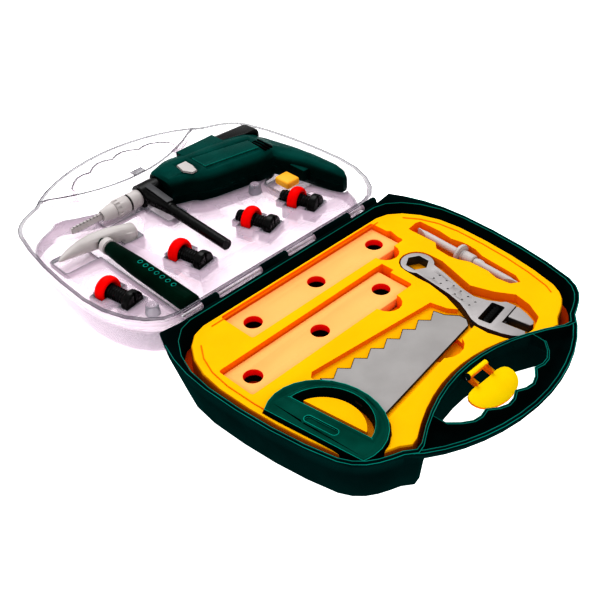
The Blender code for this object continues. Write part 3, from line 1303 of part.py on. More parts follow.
BOLTS = (
    ((-0.1383, 0.0920), math.radians(9.0), 0.0310),
    ((-0.0410, 0.0908), math.radians(10.0), 0.0290),
    ((0.0582, 0.0861), math.radians(15.0), 0.0225),
    ((0.1230, 0.0790), math.radians(16.0), 0.0200),
)


def build_insert():
    """The clear moulded insert in the lid, with wells for its tools and two round posts."""
    loop = body_loop(1, False)
    rings = [(WALL + 0.0004, 0.0095), (0.0080, 0.0105), (INSERT_TOP - 0.0010, 0.0118), (INSERT_TOP, 0.0130)]
    rings = [at_height(inset(loop, distance, 1), z) for z, distance in rings]
    under = [(0.0, 0.0110), (0.0080, 0.0120), (INSERT_TOP - SHEET_WALL, 0.0142)]
    under = [at_height(inset(loop, distance, 1), z) for z, distance in under]
    wells = [(anticlockwise(outline), floor) for outline, floor in insert_wells()]
    insert = hollow_sheet("lid_insert", rings, under, wells, SHEET_WALL)
    for x, y, top in ((0.0960, 0.1480, 0.0360), (-0.1340, 0.0560, 0.0360)):
        low = (x, y, INSERT_TOP - 0.0006)
        post = cylinder("insert_post", 0.0085, low, (x, y, top), 20, 0.0065)
        join(insert, bevel(post, 0.0020, 2, 60.0))
    return piece(insert, "lid_insert", "clear")


def build():
    """Make every piece of the toy."""
    remove_everything()
    build_base()
    build_tray()
    build_hinge_pin()
    build_latch()
    build_latch_pin()
    for name, centre in zip(("plank_rear", "plank_front"), PLANK_CENTRES):
        build_plank(name, centre)
    build_saw_blade()
    build_saw_handle()
    build_wrench()
    build_driver()
    build_lid()
    build_insert()
    build_drill_casing()
    build_side_handle()
    build_chuck()
    build_drill_inside()
    build_hammer()
    for i, (place, angle, run) in enumerate(BOLTS):
        build_bolt(i + 1, place, angle, run)
    collection("cutters").hide_render = True


build()
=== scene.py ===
"""Looks of a toy tool box that lies open: a dark case with a yellow tray, and a clear lid with its insert."""

import json
import logging
import math
from collections.abc import Callable, Iterator, Sequence
from contextlib import contextmanager
from dataclasses import dataclass
from enum import Enum

import bmesh
import bpy
from mathutils import Matrix, Vector

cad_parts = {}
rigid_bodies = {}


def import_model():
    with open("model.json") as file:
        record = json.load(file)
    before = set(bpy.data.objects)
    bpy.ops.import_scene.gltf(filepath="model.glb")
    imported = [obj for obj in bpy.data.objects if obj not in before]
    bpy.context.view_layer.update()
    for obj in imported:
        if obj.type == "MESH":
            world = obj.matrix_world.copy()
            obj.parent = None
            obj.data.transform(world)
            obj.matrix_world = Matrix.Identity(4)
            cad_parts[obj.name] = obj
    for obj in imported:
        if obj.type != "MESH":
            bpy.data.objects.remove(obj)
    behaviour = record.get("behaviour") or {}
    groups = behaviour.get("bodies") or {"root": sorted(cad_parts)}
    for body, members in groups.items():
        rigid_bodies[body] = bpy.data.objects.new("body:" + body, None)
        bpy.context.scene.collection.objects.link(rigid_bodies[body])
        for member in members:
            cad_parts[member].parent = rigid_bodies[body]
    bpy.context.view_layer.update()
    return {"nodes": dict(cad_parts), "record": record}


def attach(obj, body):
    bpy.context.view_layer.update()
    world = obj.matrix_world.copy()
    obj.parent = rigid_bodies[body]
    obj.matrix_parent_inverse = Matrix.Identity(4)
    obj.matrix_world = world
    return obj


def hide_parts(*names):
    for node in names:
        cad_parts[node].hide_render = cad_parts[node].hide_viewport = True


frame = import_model()

log = logging.getLogger("tool_box")
MM = 0.001
Colour = tuple[float, float, float]
Point = tuple[float, float, float]


class Grain(Enum):
    """How the surface of a moulded piece feels."""

    POLISHED = "polished"
    SATIN = "satin"
    BRUSHED = "brushed"


@dataclass(frozen=True)
class GrainSizes:
    """The size and height of a surface's grain.

    Args:
        scale: waves per metre of the fine grain.
        height: height of the fine grain in metres.
        stretch: how much the grain is drawn out along X, Y and Z.
    """

    scale: float
    height: float
    stretch: Point = (1.0, 1.0, 1.0)


GRAINS: dict[Grain, GrainSizes] = {
    Grain.POLISHED: GrainSizes(160.0, 0.00003),
    Grain.SATIN: GrainSizes(900.0, 0.00004),
    Grain.BRUSHED: GrainSizes(700.0, 0.00004, (0.08, 1.0, 1.0)),
}

CLOUD_SCALE, CLOUD_DETAIL = 26.0, 5.0
CLOUD_EDGES = (0.34, 0.62)
GRAIN_DETAIL, GRAIN_STRENGTH = 3.0, 0.6
MARK_SCALE, MARK_DETAIL = 90.0, 6.0
MARK_EDGES = (0.3, 0.7)
MARK_SHARES = (0.8, 1.3)
# Range of the normal's Z over which steep walls take their painted shade.
WALL_EDGES = (0.25, 0.75)
CLEAR_BLEND = 0.35
WELD = 0.02 * MM
FLAT_ANGLE = 1.0
CREST_SHARE = 0.42
THREAD_STEPS = 24


def fill(node: bpy.types.Node, values: dict[str, object]) -> bpy.types.Node:
    """Set the inputs of a node by their names and hand the node back."""
    for name, value in values.items():
        node.inputs[name].default_value = value
    return node


def add_node(tree: bpy.types.NodeTree, kind: str, values: dict[str, object] | None = None) -> bpy.types.Node:
    """Add a shader node.

    Args:
        tree: the nodes that it joins.
        kind: its type without Blender's prefix.
        values: its inputs by name.

    Returns:
        The node.
    """
    return fill(tree.nodes.new("ShaderNode" + kind), values or {})


@dataclass(frozen=True)
class PaintedShade:
    """Painted shade: the darker tones painted on a moulding's steep walls and low floors.

    Args:
        floor: painted shade of the low floors.
        wall: painted shade of the steep walls.
        top: height in metres above which nothing changes.
        bottom: height at which the floor tone is full.
    """

    floor: Colour
    wall: Colour
    top: float
    bottom: float


@dataclass(frozen=True)
class Finish:
    """A moulded plastic or metal finish with a fine grain and slight changes of tone.

    Args:
        name: name of the material.
        slot: slot of the record that the finish belongs to; not used.
        colour: base colour, linear.
        deep: the darker or richer tone that the base colour drifts to.
        roughness: middle value of the roughness.
        grain: kind of grain.
        specular: how strongly the surface mirrors at right angles.
        metallic: 1 for metal.
        painted_shade: the shade painted on steep walls and low floors.
        tint: colour of what the surface mirrors.
        sheen: how strongly that colour glows where the surface turns away.
    """

    name: str
    slot: str
    colour: Colour
    deep: Colour
    roughness: float
    grain: Grain = Grain.POLISHED
    specular: float = 0.5
    metallic: float = 0.0
    painted_shade: PaintedShade | None = None
    tint: Colour = (1.0, 1.0, 1.0)
    sheen: float = 0.0

    def material(self) -> bpy.types.Material:
        """Make the material once and hand it out again after that."""
        name = "finish_" + self.name
        made = bpy.data.materials.get(name)
        if made is None:
            made = bpy.data.materials.new(name)
            made.use_nodes = True
            self._shade(made.node_tree)
        return made

    def _shade(self, tree: bpy.types.NodeTree) -> None:
        """Lay out the material's nodes."""
        tint = (*self.tint, 1.0)
        shader = fill(tree.nodes["Principled BSDF"], {
            "Metallic": self.metallic,
            "Specular IOR Level": self.specular,
            "Specular Tint": tint,
            "Sheen Weight": self.sheen,
            "Sheen Tint": tint,
        })
        place = add_node(tree, "TexCoord")
        tone = self._tone(tree, place)
        # Painted shade on steep walls and low floors, where the finish has it.
        if self.painted_shade is not None:
            tone = self._paint_shade(tree, place, tone, self.painted_shade)
        tree.links.new(tone, shader.inputs["Base Color"])
        self._feel(tree, place, shader)

    def _tone(self, tree: bpy.types.NodeTree, place: bpy.types.Node) -> bpy.types.NodeSocket:
        """Let the colour drift between two tones over a few centimetres.

        Args:
            tree: the material's nodes.
            place: the node that gives the point on the object.

        Returns:
            The socket with the colour.
        """
        clouds = add_node(tree, "TexNoise", {"Scale": CLOUD_SCALE, "Detail": CLOUD_DETAIL})
        tree.links.new(place.outputs["Object"], clouds.inputs["Vector"])
        ramp = add_node(tree, "ValToRGB")
        for stop, position, colour in zip(ramp.color_ramp.elements, CLOUD_EDGES, (self.deep, self.colour)):
            stop.position = position
            stop.color = (*colour, 1.0)
        tree.links.new(clouds.outputs["Fac"], ramp.inputs["Fac"])
        return ramp.outputs["Color"]

    def _paint_shade(
        self, tree: bpy.types.NodeTree, place: bpy.types.Node, tone: bpy.types.NodeSocket, painted_shade: PaintedShade
    ) -> bpy.types.NodeSocket:
        """Mix the painted shade of floors and walls over the plain tone.

        Args:
            tree: the material's nodes.
            place: the node that gives the point and the normal.
            tone: the plain colour.
            painted_shade: the tones and heights of the painted shade.

        Returns:
            The socket with the colour and its painted shade.
        """
        for output, colour, (low, high) in (
            ("Normal", painted_shade.wall, WALL_EDGES),
            ("Object", painted_shade.floor, (painted_shade.bottom, painted_shade.top)),
        ):
            parts = add_node(tree, "SeparateXYZ")
            tree.links.new(place.outputs[output], parts.inputs["Vector"])
            share = add_node(tree, "MapRange", {"From Min": low, "From Max": high, "To Min": 1.0, "To Max": 0.0})
            share.interpolation_type = "SMOOTHSTEP"
            tree.links.new(parts.outputs["Z"], share.inputs["Value"])
            mix = add_node(tree, "Mix")
            mix.data_type = "RGBA"
            tree.links.new(share.outputs["Result"], mix.inputs[0])
            tree.links.new(tone, mix.inputs[6])
            mix.inputs[7].default_value = (*colour, 1.0)
            tone = mix.outputs[2]
        return tone

    def _feel(self, tree: bpy.types.NodeTree, place: bpy.types.Node, shader: bpy.types.Node) -> None:
        """Add the grain as bump and let the roughness follow handling marks.

        Args:
            tree: the material's nodes.
            place: the node that gives the point on the object.
            shader: the surface shader.
        """
        sizes = GRAINS[self.grain]
        turn = add_node(tree, "Mapping", {"Scale": sizes.stretch})
        tree.links.new(place.outputs["Object"], turn.inputs["Vector"])
        fine = add_node(tree, "TexNoise", {"Scale": sizes.scale, "Detail": GRAIN_DETAIL})
        tree.links.new(turn.outputs["Vector"], fine.inputs["Vector"])
        bump = add_node(tree, "Bump", {"Strength": GRAIN_STRENGTH, "Distance": sizes.height})
        tree.links.new(fine.outputs["Fac"], bump.inputs["Height"])
        tree.links.new(bump.outputs["Normal"], shader.inputs["Normal"])
        marks = add_node(tree, "TexNoise", {"Scale": MARK_SCALE, "Detail": MARK_DETAIL})
        tree.links.new(place.outputs["Object"], marks.inputs["Vector"])
        spread = add_node(tree, "MapRange", {
            "From Min": MARK_EDGES[0],
            "From Max": MARK_EDGES[1],
            "To Min": self.roughness * MARK_SHARES[0],
            "To Max": min(1.0, self.roughness * MARK_SHARES[1]),
        })
        tree.links.new(marks.outputs["Fac"], spread.inputs["Value"])
        tree.links.new(spread.outputs["Result"], shader.inputs["Roughness"])


@dataclass(frozen=True)
class ClearFinish(Finish):
    """Thin clear plastic that shows its edges and the bends of its walls.

    Args:
        body: how much of the light the sheet holds back seen straight on.
        rim: how much it holds back seen along the sheet.
    """

    body: float = 0.08
    rim: float = 0.60

    def _shade(self, tree: bpy.types.NodeTree) -> None:
        """Lay out the plain nodes and let the cover follow the angle."""
        super()._shade(tree)
        shader = tree.nodes["Principled BSDF"]
        angle = add_node(tree, "LayerWeight", {"Blend": CLEAR_BLEND})
        cover = add_node(tree, "MapRange", {"To Min": self.body, "To Max": self.rim})
        tree.links.new(angle.outputs["Facing"], cover.inputs["Value"])
        tree.links.new(cover.outputs["Result"], shader.inputs["Alpha"])


TEAL: Colour = (0.0, 0.55, 0.47)
AMBER: Colour = (1.0, 0.72, 0.10)
# Painted shade tones: each gives the colour painted on steep walls and the colour painted on floors below a height.
TRAY_PAINTED_SHADE = PaintedShade((0.75, 0.060, 0.0), (1.00, 0.235, 0.0), 0.0430, 0.0180)
LATCH_PAINTED_SHADE = PaintedShade((0.60, 0.090, 0.0), (0.90, 0.200, 0.0), 0.0300, 0.0260)
HOLE_PAINTED_SHADE = PaintedShade((0.004, 0.001, 0.001), (0.95, 0.004, 0.001), 0.0325, 0.0311)
FLAT_PAINTED_SHADE = PaintedShade((0.03, 0.028, 0.03), (0.03, 0.028, 0.03), 0.0, -0.001)
DRILL_PAINTED_SHADE = PaintedShade((0.0, 0.010, 0.009), (0.0, 0.014, 0.012), 0.0450, 0.0200)
GRIP_PAINTED_SHADE = PaintedShade((0.0, 0.006, 0.004), (0.0, 0.010, 0.007), 0.0300, 0.0200)
CASE_GREEN = Finish(
    "case_green", "base_green", (0.0002, 0.0110, 0.0110), (0.0001, 0.0060, 0.0064), 0.30,
    specular=0.0, tint=TEAL, sheen=0.05,
)
# Painted highlight: bright teal for the beads along the case's rims.
CASE_HIGHLIGHT = Finish(
    "case_edge_highlight", "base_green", (0.0015, 0.2300, 0.1850), (0.0010, 0.1600, 0.1300), 0.25, specular=0.1, tint=TEAL
)
# The saw grip's green darkens on its walls and low parts: painted shade.
GRIP_GREEN = Finish(
    "grip_green", "grip_green", (0.0004, 0.0900, 0.0660), (0.0002, 0.0620, 0.0450), 0.35,
    specular=0.02, painted_shade=GRIP_PAINTED_SHADE, tint=TEAL,
)
# Painted highlight: bright teal for the bead along the saw grip's edges and the rings on the hammer grip.
GRIP_HIGHLIGHT = Finish(
    "grip_edge_highlight", "grip_green", (0.0020, 0.3600, 0.2800), (0.0010, 0.2400, 0.1900), 0.25, specular=0.1, tint=TEAL
)
# The tray's wells take painted shade: orange walls and red-orange low floors.
TRAY_YELLOW = Finish(
    "tray_yellow", "tray_yellow", (1.00, 0.55, 0.0), (1.00, 0.52, 0.0), 0.40,
    specular=0.05, painted_shade=TRAY_PAINTED_SHADE, tint=AMBER,
)
# Painted shade: orange for the fine raised line round the tray.
TRAY_LINE_SHADE = Finish("tray_line_shade", "tray_yellow", (0.95, 0.25, 0.0), (0.90, 0.20, 0.0), 0.40, specular=0.05, tint=AMBER)
# The latch's sides and low parts take painted shade in orange.
LATCH_YELLOW = Finish(
    "latch_yellow", "tray_yellow", (1.00, 0.72, 0.0), (1.00, 0.68, 0.0), 0.35,
    specular=0.1, painted_shade=LATCH_PAINTED_SHADE, tint=AMBER,
)
PLANK_CREAM = Finish(
    "plank_cream", "plank_cream", (1.00, 0.550, 0.200), (1.00, 0.535, 0.190), 0.60, specular=0.04, tint=AMBER
)
# Painted shade in the plank holes: red walls that go black towards the bottom.
PLANK_HOLE_SHADE = Finish(
    "plank_hole_shade", "plank_cream", (1.00, 0.20, 0.03), (1.00, 0.15, 0.02), 0.45, Grain.SATIN, 0.1, painted_shade=HOLE_PAINTED_SHADE
)
SILVER = Finish("silver_grey", "silver", (0.60, 0.56, 0.55), (0.52, 0.485, 0.475), 0.40, Grain.SATIN, 0.3)
# Flat silver and blade grey paint their steep side walls near black: painted shade.
FLAT_SILVER = Finish(
    "flat_silver", "silver", (0.46, 0.435, 0.435), (0.38, 0.36, 0.36), 0.36, Grain.SATIN, 0.4, painted_shade=FLAT_PAINTED_SHADE
)
# Painted shade: near black for the rounded edges and beads of silver parts.
SILVER_SHADE_EDGE = Finish("silver_edge_shade", "silver", (0.03, 0.028, 0.028), (0.02, 0.018, 0.018), 0.40, Grain.SATIN, 0.1)
SHADE_EDGED_SILVER = (SILVER, SILVER_SHADE_EDGE)
BLADE_GREY = Finish(
    "blade_grey", "silver", (0.39, 0.375, 0.37), (0.35, 0.335, 0.33), 0.40, Grain.BRUSHED, 0.2, painted_shade=FLAT_PAINTED_SHADE
)
# Painted shade: near black for lines along the blade's teeth, the window's edges and the air slots.
SHADE_LINE = Finish("shade_line", "black", (0.004, 0.003, 0.003), (0.002, 0.002, 0.002), 0.5, specular=0.02)
PLATE_GREY = Finish("plate_grey", "black", (0.09, 0.09, 0.095), (0.06, 0.06, 0.064), 0.30, Grain.BRUSHED, 0.2)
STEEL = Finish("drawn_steel", "steel", (0.55, 0.55, 0.56), (0.42, 0.42, 0.43), 0.25, Grain.BRUSHED, metallic=1.0)
# The drill's green darkens to near black on its walls and lower sides: painted shade.
DRILL_GREEN = Finish(
    "drill_green", "drill_green", (0.0002, 0.0720, 0.0600), (0.0001, 0.0480, 0.0400), 0.28,
    specular=0.04, painted_shade=DRILL_PAINTED_SHADE, tint=TEAL,
)
# Painted highlight: bright teal for the panel's rounded edges and the bead along them.
DRILL_HIGHLIGHT = Finish(
    "drill_edge_highlight", "drill_green", (0.0100, 0.2600, 0.2100), (0.0050, 0.1900, 0.1500), 0.22, specular=0.1, tint=TEAL
)
PANEL_GREEN = Finish(
    "panel_green", "panel_green", (0.0003, 0.0800, 0.0660), (0.0002, 0.0600, 0.0500), 0.24, specular=0.05, tint=TEAL
)
HAMMER_GREEN = Finish(
    "hammer_green", "grip_green", (0.0002, 0.0200, 0.0110), (0.0001, 0.0120, 0.0065), 0.35, specular=0.02, tint=TEAL
)
BLACK = Finish("black_plastic", "black", (0.0022, 0.0026, 0.0026), (0.0012, 0.0014, 0.0014), 0.26, specular=0.22)
RED = Finish("nut_red", "red", (1.00, 0.0015, 0.0010), (0.92, 0.0008, 0.0005), 0.38, specular=0.04)
ORANGE = Finish("trigger_orange", "orange", (1.00, 0.52, 0.050), (1.00, 0.44, 0.030), 0.32, specular=0.2)
CLEAR = ClearFinish("clear_sheet", "clear", (0.86, 0.69, 0.80), (0.80, 0.63, 0.75), 0.10, specular=0.6)
# Painted shade: grey for the insert's steep walls and well beads, darker grey for the lid's rim faces and rim bead.
CLEAR_WALL_SHADE = ClearFinish(
    "clear_wall_shade", "clear", (0.30, 0.31, 0.345), (0.22, 0.23, 0.26), 0.10, specular=0.6, body=0.55, rim=0.85
)
CLEAR_EDGE_SHADE = ClearFinish(
    "clear_edge_shade", "clear", (0.09, 0.08, 0.11), (0.05, 0.045, 0.06), 0.10, specular=0.4, body=0.60, rim=0.85
)


class Bench:
    """Modelling steps on one mesh at a time, done with Blender's own operators."""

    @staticmethod
    def pick(*objects: bpy.types.Object) -> None:
        """Select these objects only and make the first one active.

        Args:
            objects: the objects to select.
        """
        bpy.ops.object.select_all(action="DESELECT")
        for obj in objects:
            obj.select_set(True)
        bpy.context.view_layer.objects.active = objects[0]

    @staticmethod
    @contextmanager
    def edit(obj: bpy.types.Object, everything: bool = True) -> Iterator[bmesh.types.BMesh]:
        """Open an object in edit mode.

        Args:
            obj: the object to edit.
            everything: whether all of it starts selected.

        Yields:
            The mesh being edited.
        """
        Bench.pick(obj)
        bpy.ops.object.mode_set(mode="EDIT")
        bpy.ops.mesh.select_mode(type="VERT")
        bpy.ops.mesh.select_all(action="SELECT" if everything else "DESELECT")
        yield bmesh.from_edit_mesh(obj.data)
        bpy.ops.object.mode_set(mode="OBJECT")

    @staticmethod
    def choose_faces(obj: bpy.types.Object, rule: Callable[[bmesh.types.BMFace], bool]) -> None:
        """In edit mode, select the faces that a rule picks.

        Args:
            obj: the object in edit mode.
            rule: tells for a face whether it is wanted.
        """
        bpy.ops.mesh.select_mode(type="FACE")
        bpy.ops.mesh.select_all(action="DESELECT")
        for face in bmesh.from_edit_mesh(obj.data).faces:
            if rule(face):
                face.select_set(True)
        bmesh.update_edit_mesh(obj.data)

    @staticmethod
    def paint(obj: bpy.types.Object, slot: int, rule: Callable[[bmesh.types.BMFace], bool]) -> None:
        """In edit mode, give the faces that a rule picks another material slot.

        Args:
            obj: the object in edit mode.
            slot: the material slot.
            rule: tells for a face whether it is wanted.
        """
        Bench.choose_faces(obj, rule)
        obj.active_material_index = slot
        bpy.ops.object.material_slot_assign()

    @staticmethod
    def drop_corners(wire: bpy.types.Object, rule: Callable[[Vector], bool]) -> None:
        """Take the corners that a rule picks out of a wire.

        Args:
            wire: the wire.
            rule: tells for a point whether it goes.
        """
        with Bench.edit(wire, False) as shape:
            for corner in shape.verts:
                corner.select_set(rule(corner.co))
            bmesh.update_edit_mesh(wire.data)
            bpy.ops.mesh.delete(type="VERT")

    @staticmethod
    def add_slots(obj: bpy.types.Object, count: int) -> None:
        """Give an object at least this many material slots."""
        while len(obj.data.materials) < count:
            obj.data.materials.append(None)

    @staticmethod
    def modify(obj: bpy.types.Object, kind: str, **settings: object) -> None:
        """Add a modifier with these settings and apply it.

        Args:
            obj: the object to change.
            kind: Blender's name of the modifier.
            settings: the modifier's values by name.
        """
        Bench.pick(obj)
        step = obj.modifiers.new(kind.title(), kind)
        for name, value in settings.items():
            setattr(step, name, value)
        bpy.ops.object.modifier_apply(modifier=step.name)

    @staticmethod
    def settle(obj: bpy.types.Object) -> None:
        """Move the object's place into its mesh, so that it sits at the origin."""
        Bench.pick(obj)
        bpy.ops.object.transform_apply(location=True, rotation=True, scale=True)

    @staticmethod
    def take(name: str, scale: Sequence[float] = (1.0, 1.0, 1.0)) -> bpy.types.Object:
        """Name the primitive that was just added, scale it and settle it."""
        made = bpy.context.active_object
        made.name = name
        made.scale = scale
        Bench.settle(made)
        return made

    @staticmethod
    def carve(obj: bpy.types.Object, tools: Sequence[bpy.types.Object]) -> None:
        """Cut several shapes out of an object and throw them away.

        Args:
            obj: the object to cut.
            tools: the shapes to cut out of it.
        """
        if len(tools) > 1:
            Bench.pick(*tools)
            bpy.ops.object.join()
        tool = tools[0]
        Bench.modify(obj, "BOOLEAN", operation="DIFFERENCE", object=tool, solver="EXACT", use_self=True)
        bpy.data.objects.remove(tool, do_unlink=True)

    @staticmethod
    def cylinder(name: str, radius: float, low: Point, high: Point, sides: int = 48) -> bpy.types.Object:
        """Add a round bar between two points.

        Args:
            name: name of the new object.
            radius: its radius.
            low: the middle of its first end.
            high: the middle of its other end.
            sides: faces round it.

        Returns:
            The new object, with its place in its mesh.
        """
        start, end = Vector(low), Vector(high)
        turn = (end - start).to_track_quat("Z", "Y").to_euler()
        bpy.ops.object.select_all(action="DESELECT")
        bpy.ops.mesh.primitive_cylinder_add(
            vertices=sides, radius=radius, depth=(end - start).length, location=(start + end) / 2, rotation=turn
        )
        return Bench.take(name)

    @staticmethod
    def ring(name: str, radius: float, thickness: float, height: float = 1.0, sides: int = 48) -> bpy.types.Object:
        """Add a ring round the Z axis.

        Args:
            name: name of the new object.
            radius: radius of the ring's middle line.
            thickness: radius of its section.
            height: how much the section is drawn out along Z.
            sides: faces round the ring.

        Returns:
            The new object at the origin.
        """
        bpy.ops.object.select_all(action="DESELECT")
        bpy.ops.mesh.primitive_torus_add(
            major_radius=radius, minor_radius=thickness, major_segments=sides, minor_segments=16
        )
        return Bench.take(name, (1.0, 1.0, height))

    @staticmethod
    def block(name: str, low: Point, high: Point) -> bpy.types.Object:
        """Add a box between two corners.

        Args:
            name: name of the new object.
            low: its lowest corner.
            high: its highest corner.

        Returns:
            The new object, with its place in its mesh.
        """
        start, end = Vector(low), Vector(high)
        bpy.ops.object.select_all(action="DESELECT")
        bpy.ops.mesh.primitive_cube_add(size=1.0, location=(start + end) / 2)
        return Bench.take(name, end - start)

    @staticmethod
    def thread(name: str, radius: float, height: float, pitch: float, low: float, turns: int) -> bpy.types.Object:
        """Add a screw thread that winds up the Z axis.

        Args:
            name: name of the new object.
            radius: radius of the core that it winds on.
            height: how far its crest stands off the core.
            pitch: distance from crest to crest.
            low: where it starts on the Z axis.
            turns: how often it goes round.

        Returns:
            The new object.
        """
        bpy.ops.object.select_all(action="DESELECT")
        bpy.ops.mesh.primitive_circle_add(
            vertices=4, radius=1.0, location=(radius, 0.0, low), rotation=(math.radians(90), 0.0, 0.0)
        )
        made = Bench.take(name, (height, pitch * CREST_SHARE, 1.0))
        Bench.modify(
            made,
            "SCREW",
            axis="Z",
            angle=math.radians(360),
            screw_offset=pitch,
            iterations=turns,
            steps=THREAD_STEPS,
            render_steps=THREAD_STEPS,
            use_merge_vertices=False,
        )
        with Bench.edit(made):
            bpy.ops.mesh.fill_holes(sides=8)
            bpy.ops.mesh.select_all(action="SELECT")
            bpy.ops.mesh.normals_make_consistent(inside=False)
        return made

    @staticmethod
    def join(*objects: bpy.types.Object) -> bpy.types.Object:
        """Join several objects into the first and hand it back."""
        Bench.pick(*objects)
        bpy.ops.object.join()
        return objects[0]

    @staticmethod
    def wire(node: str, name: str, above: float, sharp: float = 40.0) -> bpy.types.Object:
        """Copy only the sharp edges of a node that lie above a height.

        Args:
            node: the node's name.
            name: name of the new object.
            above: the least height in metres of the edges that stay.
            sharp: the least angle in degrees between an edge's faces.

        Returns:
            The wire.
        """
        made = Bench.copy_of(node, name)
        with Bench.edit(made, False) as shape:
            bpy.ops.mesh.select_mode(type="EDGE")
            for edge in shape.edges:
                low = min(corner.co.z for corner in edge.verts)
                bend = edge.calc_face_angle(0.0) if edge.is_manifold else 0.0
                edge.select_set(not (low > above and bend > math.radians(sharp)))
            bmesh.update_edit_mesh(made.data)
            bpy.ops.mesh.delete(type="EDGE")
            bpy.ops.mesh.select_all(action="SELECT")
            bpy.ops.mesh.delete(type="ONLY_FACE")
        return made

    @staticmethod
    def bead(wire: bpy.types.Object, radius: float) -> bpy.types.Object:
        """Turn a wire into a mesh of thin round beads of this radius along its edges."""
        Bench.pick(wire)
        bpy.ops.object.convert(target="CURVE")
        made = bpy.context.active_object
        made.data.bevel_depth = radius
        made.data.bevel_resolution = 1
        made.data.use_fill_caps = True
        bpy.ops.object.convert(target="MESH")
        return bpy.context.active_object

    @staticmethod
    def shrink(obj: bpy.types.Object, share: tuple[float, float]) -> None:
        """Draw an object in towards its middle along X and Y.

        Args:
            obj: the object.
            share: what is left of its width and of its length.
        """
        corners = [Vector(corner) for corner in obj.bound_box]
        middle = (corners[0] + corners[6]) / 2
        slide = Matrix.Translation(middle)
        obj.matrix_world = slide @ Matrix.Diagonal((*share, 1.0, 1.0)) @ slide.inverted()
        Bench.settle(obj)

    @staticmethod
    def place(obj: bpy.types.Object, frame_matrix: Matrix) -> bpy.types.Object:
        """Move a shape into a frame, keep the place in its mesh and hand the shape back."""
        obj.matrix_world = frame_matrix
        Bench.settle(obj)
        return obj

    @staticmethod
    def twin(obj: bpy.types.Object, name: str, frame_matrix: Matrix) -> bpy.types.Object:
        """Copy a shape with its own mesh and place the copy.

        Args:
            obj: the shape to copy.
            name: name of the copy.
            frame_matrix: where the copy goes.

        Returns:
            The copy.
        """
        made = bpy.data.objects.new(name, obj.data.copy())
        bpy.context.scene.collection.objects.link(made)
        return Bench.place(made, frame_matrix)

    @staticmethod
    def soften(
        obj: bpy.types.Object, width: float, segments: int = 2, angle: float = 32.0, slot: int = -1
    ) -> None:
        """Round the sharp edges of an object.

        Args:
            obj: the object to round.
            width: width of the rounding.
            segments: faces across the rounding.
            angle: the least angle, in degrees, that counts as sharp.
            slot: material slot of the rounding, or -1 for that of its neighbours.
        """
        Bench.modify(
            obj,
            "BEVEL",
            width=width,
            segments=segments,
            limit_method="ANGLE",
            angle_limit=math.radians(angle),
            use_clamp_overlap=True,
            material=slot,
        )

    @staticmethod
    def smooth(obj: bpy.types.Object, angle: float = 40.0) -> None:
        """Shade smooth up to an angle in degrees."""
        Bench.pick(obj)
        bpy.ops.object.shade_smooth_by_angle(angle=math.radians(angle), keep_sharp_edges=False)

    @staticmethod
    def copy_of(node: str, name: str, whole_faces: bool = True) -> bpy.types.Object:
        """Copy a node of the frame into a clean mesh.

        Args:
            node: the node's name.
            name: name of the new object.
            whole_faces: whether triangles that lie flat together are joined.

        Returns:
            The merged copy.
        """
        made = bpy.data.objects.new(name, frame["nodes"][node].data.copy())
        bpy.context.scene.collection.objects.link(made)
        with Bench.edit(made):
            bpy.ops.mesh.remove_doubles(threshold=WELD)
            if whole_faces:
                bpy.ops.mesh.dissolve_limited(angle_limit=math.radians(FLAT_ANGLE))
        made.data.materials.clear()
        return made


def body_of_node(node: str) -> str:
    """The body of the frame that a node belongs to."""
    bodies = frame["record"]["behaviour"]["bodies"]
    return next(body for body, nodes in bodies.items() if node in nodes)


def dress(
    obj: bpy.types.Object,
    finishes: Finish | Sequence[Finish],
    body: str,
    replaces: Sequence[str] = (),
    angle: float = 40.0,
) -> None:
    """Give a finished piece its materials, its body and the nodes that it stands for.

    Args:
        obj: the piece.
        finishes: its finish, or one for each of its material slots.
        body: the body that it moves with.
        replaces: nodes of the frame that it stands for.
        angle: shade smooth up to this angle in degrees.
    """
    chosen = [finishes] if isinstance(finishes, Finish) else list(finishes)
    Bench.add_slots(obj, len(chosen))
    for i, finish in enumerate(chosen):
        obj.data.materials[i] = finish.material()
    Bench.smooth(obj, angle)
    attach(obj, body)
    if replaces:
        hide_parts(*replaces)
    log.info("%s rides on %s with %d faces", obj.name, body, len(obj.data.polygons))


def refine(
    node: str,
    finishes: Finish | Sequence[Finish],
    width: float = 0.0,
    segments: int = 2,
    angle: float = 32.0,
    whole_faces: bool = True,
) -> None:
    """Stand a rounded and smoothly shaded copy in for a node.

    Args:
        node: the node's name.
        finishes: the finish of the copy, and then that of its rounded edges.
        width: width of the rounding along its edges.
        segments: faces across the rounding.
        angle: the least angle, in degrees, that is rounded.
        whole_faces: whether triangles that lie flat together are joined first.
    """
    made = Bench.copy_of(node, node + "_form", whole_faces)
    chosen = [finishes] if isinstance(finishes, Finish) else list(finishes)
    Bench.add_slots(made, len(chosen))
    if width:
        Bench.soften(made, width, segments, angle, len(chosen) - 1)
    dress(made, chosen, body_of_node(node), [node])


